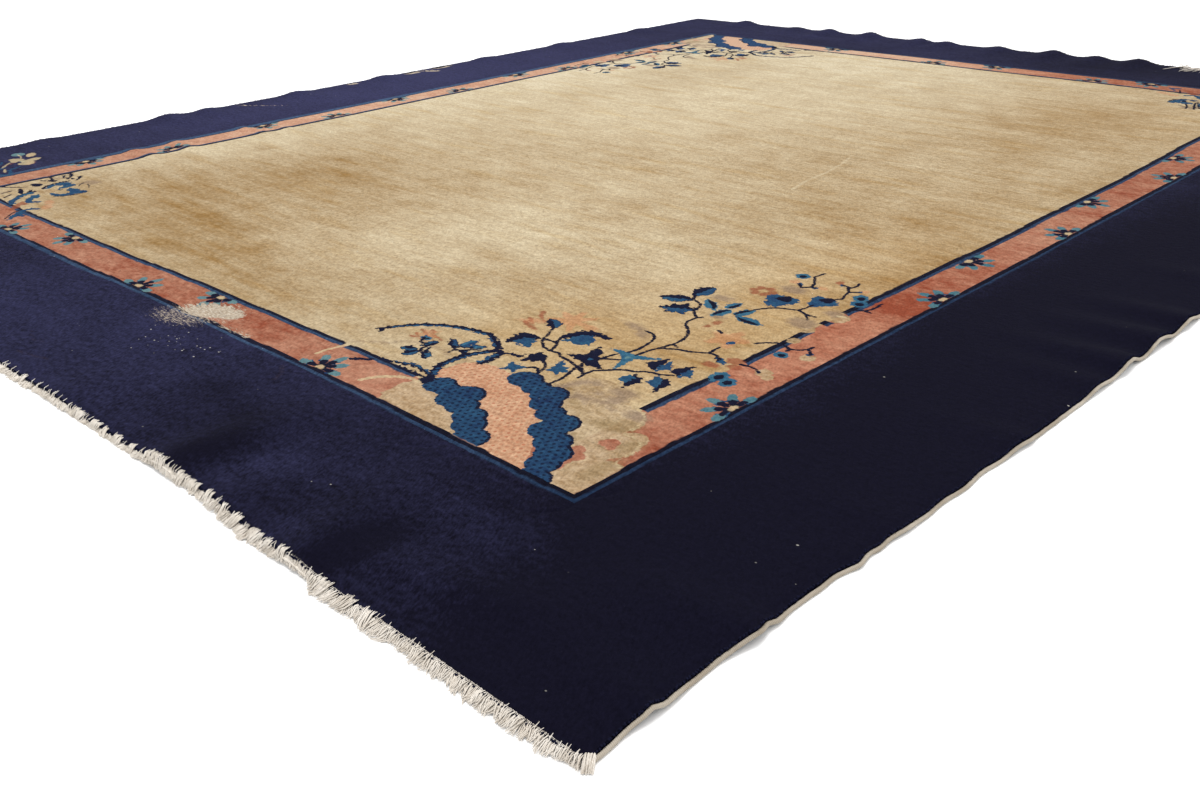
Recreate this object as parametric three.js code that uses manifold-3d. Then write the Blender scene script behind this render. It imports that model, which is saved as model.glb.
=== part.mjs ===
// A hand-knotted wool rug lying on the floor, in millimetres with +Z up.
// The short, fringed ends face -Y and +Y. The long sides, each with a cream
// selvedge cord, face -X and +X. The origin is the middle of the underside.
import * as THREE from "three";
import { mergeVertices } from "three/addons/utils/BufferGeometryUtils.js";
import Module from "manifold-3d";

const wasm = await Module();
wasm.setup();

// Driving dimensions
const PILE_WIDTH = 2740; // between the long edges of the wool
const PILE_LENGTH = 3360; // between the fringed ends of the wool
const PILE_THICKNESS = 9; // cotton foundation and clipped wool together
const CORD_DIAMETER = 5.6; // the overcast selvedge cord
const WEB_WIDTH = 6; // flat woven strip past the last row of knots
const WEB_THICKNESS = 2;
const CLEARANCE = 0.3; // kept between pieces that touch on the real rug
const LOCKS_PER_END = 92; // bunches of cut warp ends
const LOCK_GAP = 3.6; // between the roots of two locks
const LOCK_LENGTH = { least: 9, most: 17 }; // past the woven strip
const LOCK_TIP = { least: 0.5, most: 0.8 }; // tip width as a share of the root's
const LOCK_LEAN = 0.12; // most that a tip leans sideways, as a share of the root's width
const LOCK_DROOP = 8; // how far a lifted lock's tip hangs below its root
const TUFT_LENGTH = 27; // the last lock at the near right corner is a long tuft
const FRINGE_SEED = { near: 11, far: 23 };

const WOOL = { color: 0x1a2140, roughness: 0.95, metalness: 0 };
const COTTON = { color: 0xd8cdbb, roughness: 0.9, metalness: 0 };

// Sideways drift of the near end from a straight line: a smooth bump for each row.
// at: place across the rug, reach: half width of the bump, inward: towards +Y.
const END_DRIFT = [
  { at: 700, reach: 140, inward: 9 },
  { at: 470, reach: 230, inward: 4 },
  { at: -430, reach: 330, inward: -21 },
];
const DRIFT_FADE = 900; // how far into the rug the drift dies out

// Ripples that lift the cloth off the floor, each a smooth ridge.
// x, y: its middle, run: its line's angle in degrees from +X,
// half: half length, broad: half width, up: height at its middle.
const RIPPLES = [
  { x: 612, y: -1650, run: 88, half: 170, broad: 46, up: 11 },
  { x: 745, y: -1690, run: 90, half: 90, broad: 50, up: 5 },
  { x: 912, y: -1640, run: 108, half: 120, broad: 38, up: 9 },
  { x: 1090, y: -1594, run: 13, half: 150, broad: 30, up: 6 },
  { x: 1240, y: -1500, run: 35, half: 140, broad: 60, up: 4 },
  { x: 300, y: -1680, run: 80, half: 110, broad: 60, up: 5 },
  { x: -150, y: -1690, run: 95, half: 130, broad: 55, up: 6 },
  { x: -620, y: -1690, run: 84, half: 120, broad: 50, up: 7 },
  { x: -1010, y: -1690, run: 92, half: 120, broad: 55, up: 6 },
];

// Waves along an edge: each row is a ripple that starts at the edge and dies out inwards.
const EDGE_WAVE_HALF = 130;
const SIDE_WAVES = {
  right: [
    { at: -1592, broad: 34, up: 8 },
    { at: -1455, broad: 34, up: 6 },
    { at: -1190, broad: 40, up: 3 },
    { at: -925, broad: 36, up: 4 },
    { at: -700, broad: 34, up: 6 },
    { at: -610, broad: 32, up: 11 },
    { at: -498, broad: 34, up: 11 },
    { at: -390, broad: 34, up: 9 },
    { at: -180, broad: 40, up: 6 },
    { at: 130, broad: 44, up: 8 },
    { at: 420, broad: 42, up: 5 },
    { at: 760, broad: 46, up: 9 },
    { at: 1120, broad: 42, up: 6 },
    { at: 1440, broad: 44, up: 8 },
  ],
  left: [
    { at: -1360, broad: 46, up: 6 },
    { at: -1020, broad: 44, up: 4 },
    { at: -660, broad: 46, up: 9 },
    { at: -540, broad: 36, up: 6 },
    { at: -235, broad: 42, up: 7 },
    { at: 90, broad: 44, up: 6 },
    { at: 523, broad: 46, up: 5 },
    { at: 890, broad: 44, up: 6 },
    { at: 1310, broad: 44, up: 5 },
  ],
  far: [
    { at: -1110, broad: 42, up: 11 },
    { at: -860, broad: 40, up: 6 },
    { at: -715, broad: 38, up: 11 },
    { at: -536, broad: 42, up: 14 },
    { at: -330, broad: 36, up: 9 },
    { at: -225, broad: 34, up: 8 },
    { at: -30, broad: 40, up: 9 },
    { at: 165, broad: 42, up: 14 },
    { at: 309, broad: 36, up: 9 },
    { at: 444, broad: 40, up: 13 },
    { at: 700, broad: 44, up: 8 },
    { at: 960, broad: 44, up: 10 },
    { at: 1215, broad: 40, up: 6 },
  ],
};

// Rings of points, from the rug's edge to its middle: fine where it ripples.
const RINGS = [
  { inset: 0, step: 33 },
  { inset: 30, step: 33 },
  { inset: 64, step: 36 },
  { inset: 104, step: 44 },
  { inset: 156, step: 60 },
  { inset: 240, step: 105 },
  { inset: 420, step: 240 },
  { inset: 900, step: 480 },
];

const HALF_WIDTH = PILE_WIDTH / 2;
const HALF_LENGTH = PILE_LENGTH / 2;

const bump = (distance, reach) => Math.exp(-((distance / reach) ** 2));

// All ripples as one list, the edge waves turned into ripples that run inwards.
function everyRipple() {
  const wave = (row, x, y, run) => ({ ...row, x, y, run, half: EDGE_WAVE_HALF });
  return [
    ...RIPPLES,
    ...SIDE_WAVES.right.map((row) => wave(row, HALF_WIDTH, row.at, 0)),
    ...SIDE_WAVES.left.map((row) => wave(row, -HALF_WIDTH, row.at, 0)),
    ...SIDE_WAVES.far.map((row) => wave(row, row.at, HALF_LENGTH, 90)),
  ];
}

const ripples = everyRipple();

// Height of the cloth's underside over the floor.
function lift(x, y) {
  let height = 0;
  for (const ripple of ripples) {
    const turn = THREE.MathUtils.degToRad(ripple.run);
    const dx = x - ripple.x;
    const dy = y - ripple.y;
    const along = dx * Math.cos(turn) + dy * Math.sin(turn);
    const across = dy * Math.cos(turn) - dx * Math.sin(turn);
    height += ripple.up * bump(along, ripple.half) * bump(across, ripple.broad);
  }
  const flat = 0.6; // what is lower than this lies on the floor
  return Math.max(0, height - flat);
}

// Where a point of the straight, flat rug lies on the floor, as drawn by its drift.
function place(x, y) {
  const nearness = bump(y + HALF_LENGTH, DRIFT_FADE);
  let inward = 0;
  for (const row of END_DRIFT) inward += row.inward * bump(x - row.at, row.reach);
  return new THREE.Vector3(x, y + inward * nearness, lift(x, y));
}

// The four sides of one ring, counter-clockwise from the near right corner.
// Each side holds its first corner and leaves its last to the next side.
function ringSides({ inset, step }) {
  const x = HALF_WIDTH - inset;
  const y = HALF_LENGTH - inset;
  const corners = [
    new THREE.Vector2(x, -y),
    new THREE.Vector2(x, y),
    new THREE.Vector2(-x, y),
    new THREE.Vector2(-x, -y),
  ];
  return corners.map((from, i) => {
    const to = corners[(i + 1) % corners.length];
    const count = Math.max(1, Math.round(from.distanceTo(to) / step));
    return Array.from({ length: count }, (_, k) => from.clone().lerp(to, k / count));
  });
}

// Points along one whole side of the outline, both corners included.
function outlineSide(index) {
  const sides = ringSides(RINGS[0]);
  return [...sides[index], sides[(index + 1) % sides.length][0]];
}

const SIDE = { right: 0, far: 1, left: 2, near: 3 };

function geometryOf(points, faces) {
  const geometry = new THREE.BufferGeometry();
  geometry.setAttribute("position", new THREE.Float32BufferAttribute(points.flat(), 3));
  geometry.setIndex(faces.flat());
  geometry.computeVertexNormals();
  return geometry;
}

function pileGeometry() {
  const points = [];
  const faces = [];
  const layers = []; // for each ring: its sides, as point numbers of the underside
  for (const row of RINGS) {
    layers.push(ringSides(row).map((side) => side.map(({ x, y }) => {
      const at = place(x, y);
      points.push([at.x, at.y, at.z], [at.x, at.y, at.z + PILE_THICKNESS]);
      return points.length - 2;
    })));
  }
  const bothFaces = (a, b, c) => {
    faces.push([a + 1, b + 1, c + 1]); // the top, seen from above
    faces.push([a, c, b]); // the underside
  };
  const closedSide = (ring, side) => [...ring[side], ring[(side + 1) % ring.length][0]];

  for (let n = 0; n + 1 < layers.length; n++) {
    for (let side = 0; side < layers[n].length; side++) {
      const outer = closedSide(layers[n], side);
      const inner = closedSide(layers[n + 1], side);
      let i = 0;
      let j = 0;
      while (i < outer.length - 1 || j < inner.length - 1) {
        const outerNext = (i + 1) / (outer.length - 1);
        const innerNext = (j + 1) / (inner.length - 1);
        if (j === inner.length - 1 || (i < outer.length - 1 && outerNext <= innerNext)) {
          bothFaces(outer[i], outer[i + 1], inner[j]);
          i++;
        } else {
          bothFaces(outer[i], inner[j + 1], inner[j]);
          j++;
        }
      }
    }
  }

  const middle = layers.at(-1).flat();
  points.push([0, 0, 0], [0, 0, PILE_THICKNESS]);
  const centre = points.length - 2;
  middle.forEach((point, k) => bothFaces(point, middle[(k + 1) % middle.length], centre));

  const rim = layers[0].flat();
  rim.forEach((a, k) => {
    const b = rim[(k + 1) % rim.length];
    faces.push([a, b, b + 1], [a, b + 1, a + 1]);
  });
  return geometryOf(points, faces);
}

// A closed bar: the same section of points carried along a row of stations.
// Sections turn counter-clockwise as seen along the row's direction of travel, from its end.
function barGeometry(sections) {
  const points = sections.flat();
  const faces = [];
  const count = sections[0].length;
  for (let n = 0; n + 1 < sections.length; n++) {
    for (let k = 0; k < count; k++) {
      const a = n * count + k;
      const b = n * count + ((k + 1) % count);
      faces.push([a, b, b + count], [a, b + count, a + count]);
    }
  }
  const last = (sections.length - 1) * count;
  for (let k = 1; k + 1 < count; k++) {
    faces.push([0, k + 1, k]);
    faces.push([last, last + k, last + k + 1]);
  }
  return geometryOf(points, faces);
}

// The cord that edges one long side; outward is +1 on the right and -1 on the left.
function cordGeometry(side, outward) {
  const CORNERS = 6;
  const radius = CORD_DIAMETER / 2;
  const flatHeight = radius * Math.cos(Math.PI / CORNERS);
  const sections = outlineSide(side).map(({ x, y }) => {
    const at = place(x, y);
    const middle = at.x + outward * (CLEARANCE + radius);
    return Array.from({ length: CORNERS }, (_, k) => {
      const turn = (-outward * k * 2 * Math.PI) / CORNERS;
      return [
        middle + radius * Math.cos(turn),
        at.y,
        at.z + flatHeight + radius * Math.sin(turn),
      ];
    });
  });
  return barGeometry(sections);
}

// Repeatable random numbers from 0 to 1, from a linear congruential generator.
function seeded(seed) {
  const MULTIPLIER = 1664525;
  const INCREMENT = 1013904223;
  const MODULUS = 2 ** 32;
  let state = seed;
  return () => {
    state = (state * MULTIPLIER + INCREMENT) % MODULUS;
    return state / MODULUS;
  };
}

function toManifold(geometry) {
  const merged = geometry.clone();
  merged.deleteAttribute("normal");
  const welded = mergeVertices(merged);
  return new wasm.Manifold(new wasm.Mesh({
    numProp: 3,
    vertProperties: new Float32Array(welded.attributes.position.array),
    triVerts: new Uint32Array(welded.index.array),
  }));
}

function fromManifold(solid) {
  const mesh = solid.getMesh();
  const geometry = new THREE.BufferGeometry();
  geometry.setAttribute("position", new THREE.BufferAttribute(mesh.vertProperties, mesh.numProp));
  geometry.setIndex(new THREE.BufferAttribute(mesh.triVerts, 1));
  geometry.computeVertexNormals();
  return geometry;
}

// One four-sided lock, from inside the woven strip to its tip on the floor.
function lockGeometry({ x, outward, width, length, tipWidth, lean }) {
  const ROOT_SKIN = 0.25; // the root is thinner than the strip that holds it
  const TIP_THICKNESS = 1.1;
  const end = outward * HALF_LENGTH;
  const root = place(x, end);
  const rootY = root.y + outward * (CLEARANCE + WEB_WIDTH / 2);
  const tipY = root.y + outward * (CLEARANCE + WEB_WIDTH + length);
  const tipLow = Math.max(0, root.z - LOCK_DROOP);
  const section = (middle, half, y, low, high) => {
    const ring = [
      [middle - half, y, low],
      [middle + half, y, low],
      [middle + half, y, high],
      [middle - half, y, high],
    ];
    return outward > 0 ? ring.reverse() : ring;
  };
  return barGeometry([
    section(x, width / 2, rootY, root.z, root.z + WEB_THICKNESS - ROOT_SKIN),
    section(x + lean, tipWidth / 2, tipY, tipLow, tipLow + TIP_THICKNESS),
  ]);
}

// The woven strip at one end with its locks; outward is -1 at the near end, +1 at the far.
function fringeGeometry(side, outward, seed) {
  const stations = outlineSide(side).map(({ x, y }) => place(x, y));
  let fringe = toManifold(barGeometry(stations.map((at) => {
    const inner = at.y + outward * CLEARANCE;
    const outer = inner + outward * WEB_WIDTH;
    return [
      [at.x, inner, at.z],
      [at.x, inner, at.z + WEB_THICKNESS],
      [at.x, outer, at.z + WEB_THICKNESS],
      [at.x, outer, at.z],
    ];
  })));
  const random = seeded(seed);
  const between = (low, high) => low + (high - low) * random();
  const pitch = PILE_WIDTH / LOCKS_PER_END;
  const width = pitch - LOCK_GAP;
  for (let k = 0; k < LOCKS_PER_END; k++) {
    const atTuft = outward < 0 && k === LOCKS_PER_END - 1;
    const lock = lockGeometry({
      x: -HALF_WIDTH + (k + 0.5) * pitch,
      outward,
      width,
      length: atTuft ? TUFT_LENGTH : between(LOCK_LENGTH.least, LOCK_LENGTH.most),
      tipWidth: width * between(LOCK_TIP.least, LOCK_TIP.most),
      lean: width * between(-LOCK_LEAN, LOCK_LEAN),
    });
    fringe = fringe.add(toManifold(lock));
  }
  return fromManifold(fringe);
}

function piece(name, geometry, finish) {
  const mesh = new THREE.Mesh(geometry, new THREE.MeshStandardMaterial(finish));
  mesh.name = name;
  return mesh;
}

const rug = new THREE.Group();
rug.add(
  piece("pile_carpet", pileGeometry(), WOOL),
  piece("selvedge_cord_right", cordGeometry(SIDE.right, 1), COTTON),
  piece("selvedge_cord_left", cordGeometry(SIDE.left, -1), COTTON),
  piece("fringe_near", fringeGeometry(SIDE.near, -1, FRINGE_SEED.near), COTTON),
  piece("fringe_far", fringeGeometry(SIDE.far, 1, FRINGE_SEED.far), COTTON),
);

// The whole rug is centred over the origin, its underside on the floor.
const box = new THREE.Box3().setFromObject(rug);
const centre = box.getCenter(new THREE.Vector3());
rug.position.set(-centre.x, -centre.y, -box.min.z);

export default rug;
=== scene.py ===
# %% [markdown]
# # A large Chinese rug, hand-knotted in wool
# The rug lies on a pale floor: a plain navy border, a narrow coral band, an open
# tan field and sprays of flowers growing from rocks in the corners. The measured
# model of it, made before in CAD, is loaded first and stays fixed. Each piece
# built here lies where that model says, and takes over from its plain solid.

# %% The fixed frame
import math

import bmesh
import bpy
import numpy as np
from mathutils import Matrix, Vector


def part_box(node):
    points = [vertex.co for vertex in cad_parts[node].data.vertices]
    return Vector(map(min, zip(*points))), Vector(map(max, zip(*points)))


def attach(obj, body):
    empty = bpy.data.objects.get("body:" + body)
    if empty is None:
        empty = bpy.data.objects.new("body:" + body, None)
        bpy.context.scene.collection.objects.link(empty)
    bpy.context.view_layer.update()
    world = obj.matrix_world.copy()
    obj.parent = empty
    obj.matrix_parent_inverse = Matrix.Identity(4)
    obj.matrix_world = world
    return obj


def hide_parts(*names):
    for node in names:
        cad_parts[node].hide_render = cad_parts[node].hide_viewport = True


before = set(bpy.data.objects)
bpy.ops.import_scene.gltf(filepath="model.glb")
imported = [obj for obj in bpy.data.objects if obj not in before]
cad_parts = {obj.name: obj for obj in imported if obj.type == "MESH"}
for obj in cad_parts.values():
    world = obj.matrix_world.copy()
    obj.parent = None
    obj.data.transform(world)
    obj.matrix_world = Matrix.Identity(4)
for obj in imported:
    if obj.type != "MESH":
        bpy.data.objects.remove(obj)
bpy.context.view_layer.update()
print("solids:", sorted(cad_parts))

# %% [markdown]
# ## How the cloth lies
# A rug this old is no flat rectangle. Its near end has drifted from a straight
# line, and ripples lift its edges off the floor. Cloth simulation could make such
# ripples, but not these ones in these places, so they are smooth ridges from a
# table, the same rows that shaped the CAD solid. Lengths are in millimetres on
# the flat rug, with the origin at its middle.

# %% The tables of drift and ripples
PILE_WIDTH, PILE_LENGTH, PILE_THICKNESS = 2740.0, 3360.0, 9.0
HALF_WIDTH, HALF_LENGTH = PILE_WIDTH / 2, PILE_LENGTH / 2
CORD_DIAMETER, WEB_WIDTH, CLEARANCE = 5.6, 6.0, 0.3
DRIFT_FADE = 900.0  # how far up the rug the near end's drift can be seen
EDGE_WAVE_HALF = 130.0  # half the length of a ripple that runs in from an edge
LIES_FLAT = 0.6  # a ripple lower than this lies on the floor

END_DRIFT = [(700, 140, 9), (470, 230, 4), (-430, 330, -21)]  # at, reach, inward
RIPPLES = [  # x, y, run in degrees, half length, half width, height
    (612, -1650, 88, 170, 46, 11), (745, -1690, 90, 90, 50, 5),
    (912, -1640, 108, 120, 38, 9), (1090, -1594, 13, 150, 30, 6),
    (1240, -1500, 35, 140, 60, 4), (300, -1680, 80, 110, 60, 5),
    (-150, -1690, 95, 130, 55, 6), (-620, -1690, 84, 120, 50, 7),
    (-1010, -1690, 92, 120, 55, 6),
]
BAND_RIDGES = [  # folds that run across the left limb of the band
    (-1000, -915, 4, 95, 24, 6.5), (-1000, -806, -4, 95, 23, 6.5), (-1010, -598, 3, 85, 22, 5.5),
    (-960, -525, 0, 50, 15, 3),
]
RIGHT_WAVES = [  # place along the edge, half width, height
    (-1592, 34, 8), (-1455, 34, 6), (-1190, 40, 3), (-925, 36, 4), (-700, 34, 6),
    (-610, 32, 11), (-498, 34, 11), (-390, 34, 9), (-180, 40, 6), (130, 44, 8),
    (420, 42, 5), (760, 46, 9), (1120, 42, 6), (1440, 44, 8),
]
LEFT_WAVES = [
    (-1360, 46, 6), (-1020, 44, 4), (-660, 46, 9), (-540, 36, 6), (-235, 42, 7),
    (90, 44, 6), (523, 46, 5), (890, 44, 6), (1310, 44, 5),
]
FAR_WAVES = [
    (-1110, 42, 11), (-860, 40, 6), (-715, 38, 11), (-536, 42, 14), (-330, 36, 9),
    (-225, 34, 8), (-30, 40, 9), (165, 42, 14), (309, 36, 9), (444, 40, 13),
    (700, 44, 8), (960, 44, 10), (1215, 40, 6),
]
RIGHT_KINKS = [  # place along the right edge, half width, pulled in by, height
    (-1630, 20, 3, 0), (-1598, 6, 0.5, 2), (-1580, 12, 0, -3), (-1545, 26, 3, 0),
    (-1500, 34, 6, 0), (-1452, 12, -1.5, 2), (-1428, 10, 3, 1.5), (-1390, 26, 4.5, 0),
    (-1352, 30, 6, 0), (-1310, 24, 6, 0), (-1278, 9, -2, 1.5), (-1252, 14, 3.5, 1),
    (-1215, 18, 3, 0), (-1100, 24, 2.5, 0), (-1010, 30, 4, 0), (-905, 12, -2, 1.5),
    (-628, 10, -2, 2), (-586, 12, 2.5, 2), (-470, 12, -2, 2), (-404, 10, -2, 2),
]
KINK_REACH = 45.0  # how far in from the edge a kink can be seen
every_ripple = (
    RIPPLES + BAND_RIDGES
    + [(HALF_WIDTH, at, 0, EDGE_WAVE_HALF, broad, up) for at, broad, up in RIGHT_WAVES]
    + [(-HALF_WIDTH, at, 0, EDGE_WAVE_HALF, broad, up) for at, broad, up in LEFT_WAVES]
    + [(at, HALF_LENGTH, 90, EDGE_WAVE_HALF, broad, up) for at, broad, up in FAR_WAVES]
)
print(len(every_ripple), "ripples")


# %% From the flat rug to where it lies
def lift(x, y):
    """Height of the cloth's underside over the floor, at flat points."""
    height = np.zeros_like(x)
    for at_x, at_y, run, half, broad, up in every_ripple:
        turn = math.radians(run)
        along = (x - at_x) * math.cos(turn) + (y - at_y) * math.sin(turn)
        across = (y - at_y) * math.cos(turn) - (x - at_x) * math.sin(turn)
        height += up * np.exp(-((along / half) ** 2) - (across / broad) ** 2)
    return np.maximum(0.0, height - LIES_FLAT)


def drift(x, y):
    """How far the near end's drift carries a flat point towards +Y."""
    inward = sum(up * np.exp(-(((x - at) / reach) ** 2)) for at, reach, up in END_DRIFT)
    return inward * np.exp(-(((y + HALF_LENGTH) / DRIFT_FADE) ** 2))


pile_low, pile_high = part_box("pile_carpet")
SHIFT_X = 500 * (pile_low.x + pile_high.x)  # the solid was centred over the origin
SHIFT_Y = 1000 * pile_high.y - HALF_LENGTH


def laid(x, y, over=0.0):
    """Places in metres of flat points that are `over` mm above the underside."""
    x, y = np.asarray(x, float), np.asarray(y, float)
    beside = np.exp(-(((HALF_WIDTH - x) / KINK_REACH) ** 2))
    kinks = [(inward, up, beside * np.exp(-(((y - at) / half) ** 2)))
             for at, half, inward, up in RIGHT_KINKS]
    pulled = sum(inward * share for inward, _, share in kinks)
    raised = sum(up * share for _, up, share in kinks)
    rows = [x - pulled + SHIFT_X, y + drift(x, y) + SHIFT_Y, lift(x, y) + raised + over]
    return np.stack(rows, axis=-1) / 1000


highest = lift(np.array([165.0]), np.array([HALF_LENGTH]))[0]
print(f"shift {SHIFT_X:.2f}, {SHIFT_Y:.2f} mm; highest lift {highest:.1f} mm")

# %% [markdown]
# ## The camera and the floor
# The photograph looks over the near right corner, low and close, with a wide
# lens. The camera's place was worked out from the rug's corners and its straight
# border lines, so it needs no shift. The floor is a plain pale sheet, and the
# light is a bright white room with one large soft lamp.

# %% Camera
CAMERA_AT = (1929.5, -2196.7, 701.8)  # in the flat rug's millimetres
CAMERA_TURN = (64.478, 1.677, 44.716)  # in degrees
CAMERA_LENS, CAMERA_SENSOR = 35.508, 36
NEAREST_SEEN = 0.01

eye = bpy.data.cameras.new("camera")
eye.lens = CAMERA_LENS
eye.sensor_width = CAMERA_SENSOR
eye.clip_start = NEAREST_SEEN
camera = bpy.data.objects.new("camera", eye)
camera.location = [(at + shift) / 1000 for at, shift in zip(CAMERA_AT, (SHIFT_X, SHIFT_Y, 0))]
camera.rotation_euler = [math.radians(angle) for angle in CAMERA_TURN]
bpy.context.scene.collection.objects.link(camera)
bpy.context.scene.camera = camera
print("camera at", [round(v, 3) for v in camera.location])


# %% Shader maths as Python expressions
class Socket:
    """A value in a material. Python's operators on it add Math nodes."""

    def __init__(self, finish, output):
        self.finish, self.output = finish, output

    def math(self, operation, *others, clamp=False):
        values = dict(enumerate((self, *others)))
        settings = {"operation": operation, "use_clamp": clamp}
        return self.finish.node("ShaderNodeMath", settings, values)

    def __add__(self, other):
        return self.math("ADD", other)

    __radd__ = __add__

    def __sub__(self, other):
        return self.math("SUBTRACT", other)

    def __rsub__(self, other):
        return self * -1 + other

    def __mul__(self, other):
        return self.math("MULTIPLY", other)

    __rmul__ = __mul__

    def __truediv__(self, other):
        return self.math("DIVIDE", other)

    def floor(self):
        return self.math("FLOOR")

    def least(self, other):
        return self.math("MINIMUM", other)

    def most(self, other):
        return self.math("MAXIMUM", other)

    def edge(self, soft=0.5):
        """0 where the value is below -soft, 1 above soft, and a ramp between."""
        return (self / (2 * soft)).math("ADD", 0.5, clamp=True)

    def clamped(self):
        return self.math("ADD", 0.0, clamp=True)


print("on sockets: + - * / floor, least, most, edge and clamped")


# %% One way to make a material
class Finish:
    """A material that is built node by node."""

    def __init__(self, name):
        self.material = bpy.data.materials.new(name)
        self.material.use_nodes = True
        self.tree = self.material.node_tree
        self.tree.nodes.clear()

    def node(self, kind, settings=None, values=None, output=0):
        made = self.tree.nodes.new(kind)
        for name, value in (settings or {}).items():
            setattr(made, name, value)
        for name, value in (values or {}).items():
            if isinstance(value, Socket):
                self.tree.links.new(value.output, made.inputs[name])
            else:
                made.inputs[name].default_value = value
        return Socket(self, made.outputs[output])

    def split(self, vector):
        first = self.node("ShaderNodeSeparateXYZ", values={0: vector})
        return [Socket(self, output) for output in first.output.node.outputs]

    def join(self, x, y, z=0.0):
        return self.node("ShaderNodeCombineXYZ", values={0: x, 1: y, 2: z})

    def mix(self, factor, below, above, blend="MIX"):
        settings = {"data_type": "RGBA", "blend_type": blend}
        return self.node("ShaderNodeMix", settings, {0: factor, 6: below, 7: above}, output=2)

    def noise(self, vector, detail=2.0, roughness=0.5):
        values = {"Vector": vector, "Scale": 1.0, "Detail": detail, "Roughness": roughness}
        return self.node("ShaderNodeTexNoise", values=values)

    def surface(self, values, height=None, strength=1.0):
        """A Principled surface on the output, with a bump of `height` metres."""
        values = dict(values)
        if height is not None:
            bump = {"Strength": strength, "Distance": 1.0, "Height": height}
            values["Normal"] = self.node("ShaderNodeBump", values=bump)
        shader = self.node("ShaderNodeBsdfPrincipled", values=values)
        out = self.tree.nodes.new("ShaderNodeOutputMaterial")
        self.tree.links.new(shader.output, out.inputs["Surface"])
        return self.material


print("a finish is built from: node, split, join, mix, noise and surface")

# %% Colours as they look in this room
LIGHT = 1.62  # a flat white surface in this room shines that much over white


def tone(red, green, blue):
    """The colour that looks like these screen values, 0 to 255, in this room."""
    parts = (v / 255 for v in (red, green, blue))
    linear = (v / 12.92 if v <= 0.04045 else ((v + 0.055) / 1.055) ** 2.4 for v in parts)
    return (*(v / LIGHT for v in linear), 1.0)


NAVY_DEEP, NAVY_BLUE = tone(18, 17, 32), tone(56, 57, 91)
print("navy as the shader sees it:", [round(v, 4) for v in NAVY_DEEP])


# %% Floor and light
def add(name, mesh, finish=None):
    piece = bpy.data.objects.new(name, mesh)
    bpy.context.scene.collection.objects.link(piece)
    if finish:
        piece.data.materials.append(finish)
    return piece


FLOOR_SIDE, FLOOR_GREY = 40.0, 0.93
ROOM_STRENGTH = 1.3
LAMP_SIZE, LAMP_POWER = 3.0, 150.0
LAMP_AT, LAMP_AIM = Vector((0.2, -0.5, 4.6)), Vector((0, -0.4, 0))

bm = bmesh.new()
bmesh.ops.create_grid(bm, x_segments=4, y_segments=4, size=FLOOR_SIDE / 2)
floor_mesh = bpy.data.meshes.new("floor")
bm.to_mesh(floor_mesh)
bm.free()
pale = Finish("pale_floor").surface({"Base Color": (*[FLOOR_GREY] * 3, 1), "Roughness": 0.8})
add("floor", floor_mesh, pale)

room = bpy.data.worlds.new("white_room")
room.use_nodes = True
white = room.node_tree.nodes["Background"].inputs
white["Color"].default_value = (1, 1, 1, 1)
white["Strength"].default_value = ROOM_STRENGTH
bpy.context.scene.world = room
bpy.context.scene.view_settings.view_transform = "Standard"

lamp = bpy.data.lights.new("soft_lamp", "AREA")
lamp.shape = "DISK"
lamp.size = LAMP_SIZE
lamp.energy = LAMP_POWER
lamp_stand = bpy.data.objects.new("soft_lamp", lamp)
lamp_stand.location = LAMP_AT
lamp_stand.rotation_euler = (LAMP_AIM - LAMP_AT).to_track_quat("-Z", "Y").to_euler()
bpy.context.scene.collection.objects.link(lamp_stand)
print("floor, room and one lamp of", lamp.energy, "W")

# %% [markdown]
# ## The drawing, as distances
# The weaver drew with knots: rocks, clouds, stems, leaves and blossoms, each in a
# few wools. A picture file could hold that, but a picture is a fixed grid, and
# this rug should stay sharp at any size. So each motif is a small formula that
# gives, for any flat point, how far inside its outline the point lies, in
# millimetres. A wool's drawing is the largest such value over all its motifs, and
# the shader paints it where the value is positive. The motifs are the common
# stock of such rugs, drawn here with discs, leaves and strokes.

# %% The outlines that motifs are made of
WOOLS = ["gap", "tan", "olive", "coral", "peach", "lavender", "russet", "rose", "rock",
         "navy", "blue", "teal", "pale", "ink", "cream", "bare", "thin", "crease", "crest"]
BLURRED = {"olive", "lavender", "rose", "thin", "crease", "crest", "gap"}  # no fine outline
OUTSIDE = -30.0  # the distance that stands for anywhere far from a motif
motifs = []  # (wool, middle and reach on the flat rug, distance, also in the opposite corner)


def local(x, y, at, turn):
    angle = math.radians(turn)
    dx, dy = x - at[0], y - at[1]
    cos, sin = math.cos(angle), math.sin(angle)
    return dx * cos + dy * sin, dy * cos - dx * sin


def disc(x0, y0, wide, high=None, turn=0):
    high = high or wide

    def inside(x, y):
        u, v = local(x, y, (x0, y0), turn)
        return (1 - np.hypot(u / wide, v / high)) * min(wide, high)

    return (x0, y0, max(wide, high)), inside


def leaf(x0, y0, turn, long, wide, side=0):
    """A leaf pointed at both ends. side 1 or -1 keeps one half of it."""

    def inside(x, y):
        u, v = local(x, y, (x0, y0), turn)
        whole = 0.85 * (wide / 2 * (1 - (2 * u / long) ** 2) - abs(v))
        return np.minimum(whole, side * v) if side else whole

    return (x0, y0, long / 2), inside


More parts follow.
